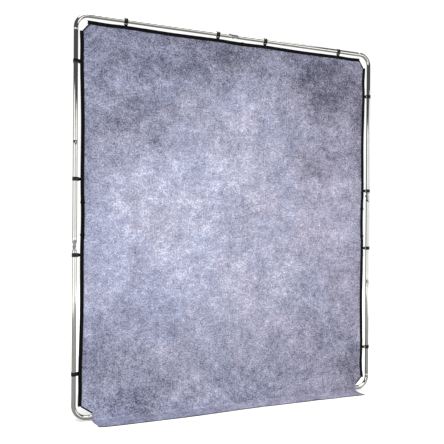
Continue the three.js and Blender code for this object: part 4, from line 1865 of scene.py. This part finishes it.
def area_light(name, place, aim, size, power):
    """A soft rectangular light that shines at a point."""
    data = bpy.data.lights.new(name, "AREA")
    data.shape = "RECTANGLE"
    data.size, data.size_y = size
    data.energy = power
    made = bpy.data.objects.new(name, data)
    made.location = place
    made.rotation_mode = "QUATERNION"
    made.rotation_quaternion = (Vector(aim) - Vector(place)).to_track_quat("-Z", "Y")
    bpy.context.scene.collection.objects.link(made)
    return made


def pale_wall(name, start, end, aim, power):
    """A pale upright wall between two places, which only polished metal shows."""
    start, end = Vector((*start, WALL_HEIGHT / 2)), Vector((*end, WALL_HEIGHT / 2))
    middle = (start + end) / 2
    across = end - start
    facing = Vector((-across.y, across.x, 0.0))
    if facing.dot(Vector(aim) - middle) < 0:
        facing = -facing
    wall = area_light(name, middle, middle + facing, (across.length, WALL_HEIGHT), power)
    wall.visible_camera = False
    wall.visible_diffuse = False


def pale_floor():
    """A wide floor that shows pale, but throws back less light than it shows, as floor paper
    burnt out by its own lamps does."""
    stage = settings().stage
    half = FLOOR_HALF
    floor = new_object(
        "floor",
        [(-half, -half, 0), (half, -half, 0), (half, half, 0), (-half, half, 0)],
        faces=[(0, 1, 2, 3)],
    )
    material, tree, shader = new_material("Pale floor", stage.floor_colour, Roughness=0.7)
    path = put(tree, "ShaderNodeLightPath")
    paper = put(
        tree,
        "ShaderNodeMix",
        {
            "Factor": path.outputs["Is Camera Ray"],
            "A": (*stage.floor_thrown, 1.0),
            "B": (*stage.floor_colour, 1.0),
        },
        data_type="RGBA",
    )
    tree.links.new(paper.outputs["Result"], shader.inputs["Base Color"])
    floor.data.materials.append(material)


def white_studio():
    """A world that is white to the camera and lights the support softly from all round."""
    world = bpy.data.worlds.new("Studio")
    bpy.context.scene.world = world
    world.use_nodes = True
    sky = world.node_tree
    sky.nodes.clear()
    seen = put(sky, "ShaderNodeLightPath")
    white = put(sky, "ShaderNodeBackground", {"Color": (1.0, 1.0, 1.0, 1.0), "Strength": 1.05})
    soft = put(
        sky,
        "ShaderNodeBackground",
        {"Color": (*linear("#FAFBFF"), 1.0), "Strength": settings().stage.sky},
    )
    mix = put(
        sky,
        "ShaderNodeMixShader",
        {
            0: seen.outputs["Is Camera Ray"],
            1: soft.outputs["Background"],
            2: white.outputs["Background"],
        },
    )
    put(sky, "ShaderNodeOutputWorld", {"Surface": mix.outputs["Shader"]})


def camera_in_place():
    """The camera, level but for a slight roll, to the left of the support."""
    data = bpy.data.cameras.new("Camera")
    data.sensor_width = 36.0
    data.lens = CAMERA_LENS
    data.shift_y = CAMERA_SHIFT
    data.clip_end = 200.0
    camera = bpy.data.objects.new("Camera", data)
    ahead = Vector((-math.sin(CAMERA_YAW), math.cos(CAMERA_YAW), 0.0))
    level = Vector((math.cos(CAMERA_YAW), math.sin(CAMERA_YAW), 0.0))
    up = Vector((0.0, 0.0, 1.0))
    across = level * math.cos(CAMERA_ROLL) + up * math.sin(CAMERA_ROLL)
    over = up * math.cos(CAMERA_ROLL) - level * math.sin(CAMERA_ROLL)
    turned = Matrix((across, over, -ahead)).transposed().to_4x4()
    camera.matrix_world = Matrix.Translation(CAMERA_PLACE) @ turned
    bpy.context.scene.collection.objects.link(camera)
    bpy.context.scene.camera = camera


class BACKGROUND_OT_stage(Operator):
    """Make the floor, the soft studio light and the camera"""

    bl_idname = "background.stage"
    bl_label = "Stage"

    def execute(self, context):
        stage = settings().stage
        scene = bpy.context.scene
        scene.view_settings.view_transform = "Standard"
        pale_floor()
        white_studio()
        middle = (MIDDLE_X, PLANE_Y, 1.2)
        # The lamps would burn out in polished tube, so it shows pale walls instead of them
        for name, (place, size) in LAMPS.items():
            lamp = area_light(name, place, middle, size, stage.key_power)
            lamp.visible_glossy = False
        for name, (start, end) in WALLS.items():
            pale_wall(name, start, end, middle, stage.wall_power)
        sun = bpy.data.lights.new("Ceiling", "SUN")
        sun.energy = stage.top_power
        sun.angle = CEILING_WIDTH
        above = bpy.data.objects.new("Ceiling", sun)
        above.rotation_euler = (CEILING_TILT, 0.0, 0.0)
        scene.collection.objects.link(above)
        camera_in_place()
        return {"FINISHED"}


class BACKGROUND_PT_support(Panel):
    """The steps of making the support, in order"""

    bl_label = "Background Support"
    bl_idname = "BACKGROUND_PT_support"
    bl_space_type = "VIEW_3D"
    bl_region_type = "UI"
    bl_category = "Background"

    def draw(self, context):
        chosen = settings()
        for title, group in (
            ("Tubes", chosen.tube),
            ("Cover", chosen.cover),
            ("Hardware", chosen.hardware),
            ("Stage", chosen.stage),
        ):
            column = self.layout.column(heading=title)
            for name in group.__annotations__:
                column.prop(group, name)
        for operator in OPERATORS:
            self.layout.operator(operator.bl_idname)


OPERATORS = (
    BACKGROUND_OT_stage,
    BACKGROUND_OT_tubes,
    BACKGROUND_OT_joints,
    BACKGROUND_OT_clips,
    BACKGROUND_OT_cover,
    BACKGROUND_OT_feet,
)
CLASSES = (
    TubeSettings,
    CoverSettings,
    HardwareSettings,
    StageSettings,
    SupportSettings,
    *OPERATORS,
    BACKGROUND_PT_support,
)


def register():
    for item in CLASSES:
        bpy.utils.register_class(item)
    bpy.types.Scene.background_support = PointerProperty(type=SupportSettings)


def unregister():
    del bpy.types.Scene.background_support
    for item in reversed(CLASSES):
        bpy.utils.unregister_class(item)


def main():
    register()
    for operator in OPERATORS:
        group, name = operator.bl_idname.split(".")
        getattr(getattr(bpy.ops, group), name)()
    bpy.context.view_layer.update()


if __name__ == "__main__":
    main()
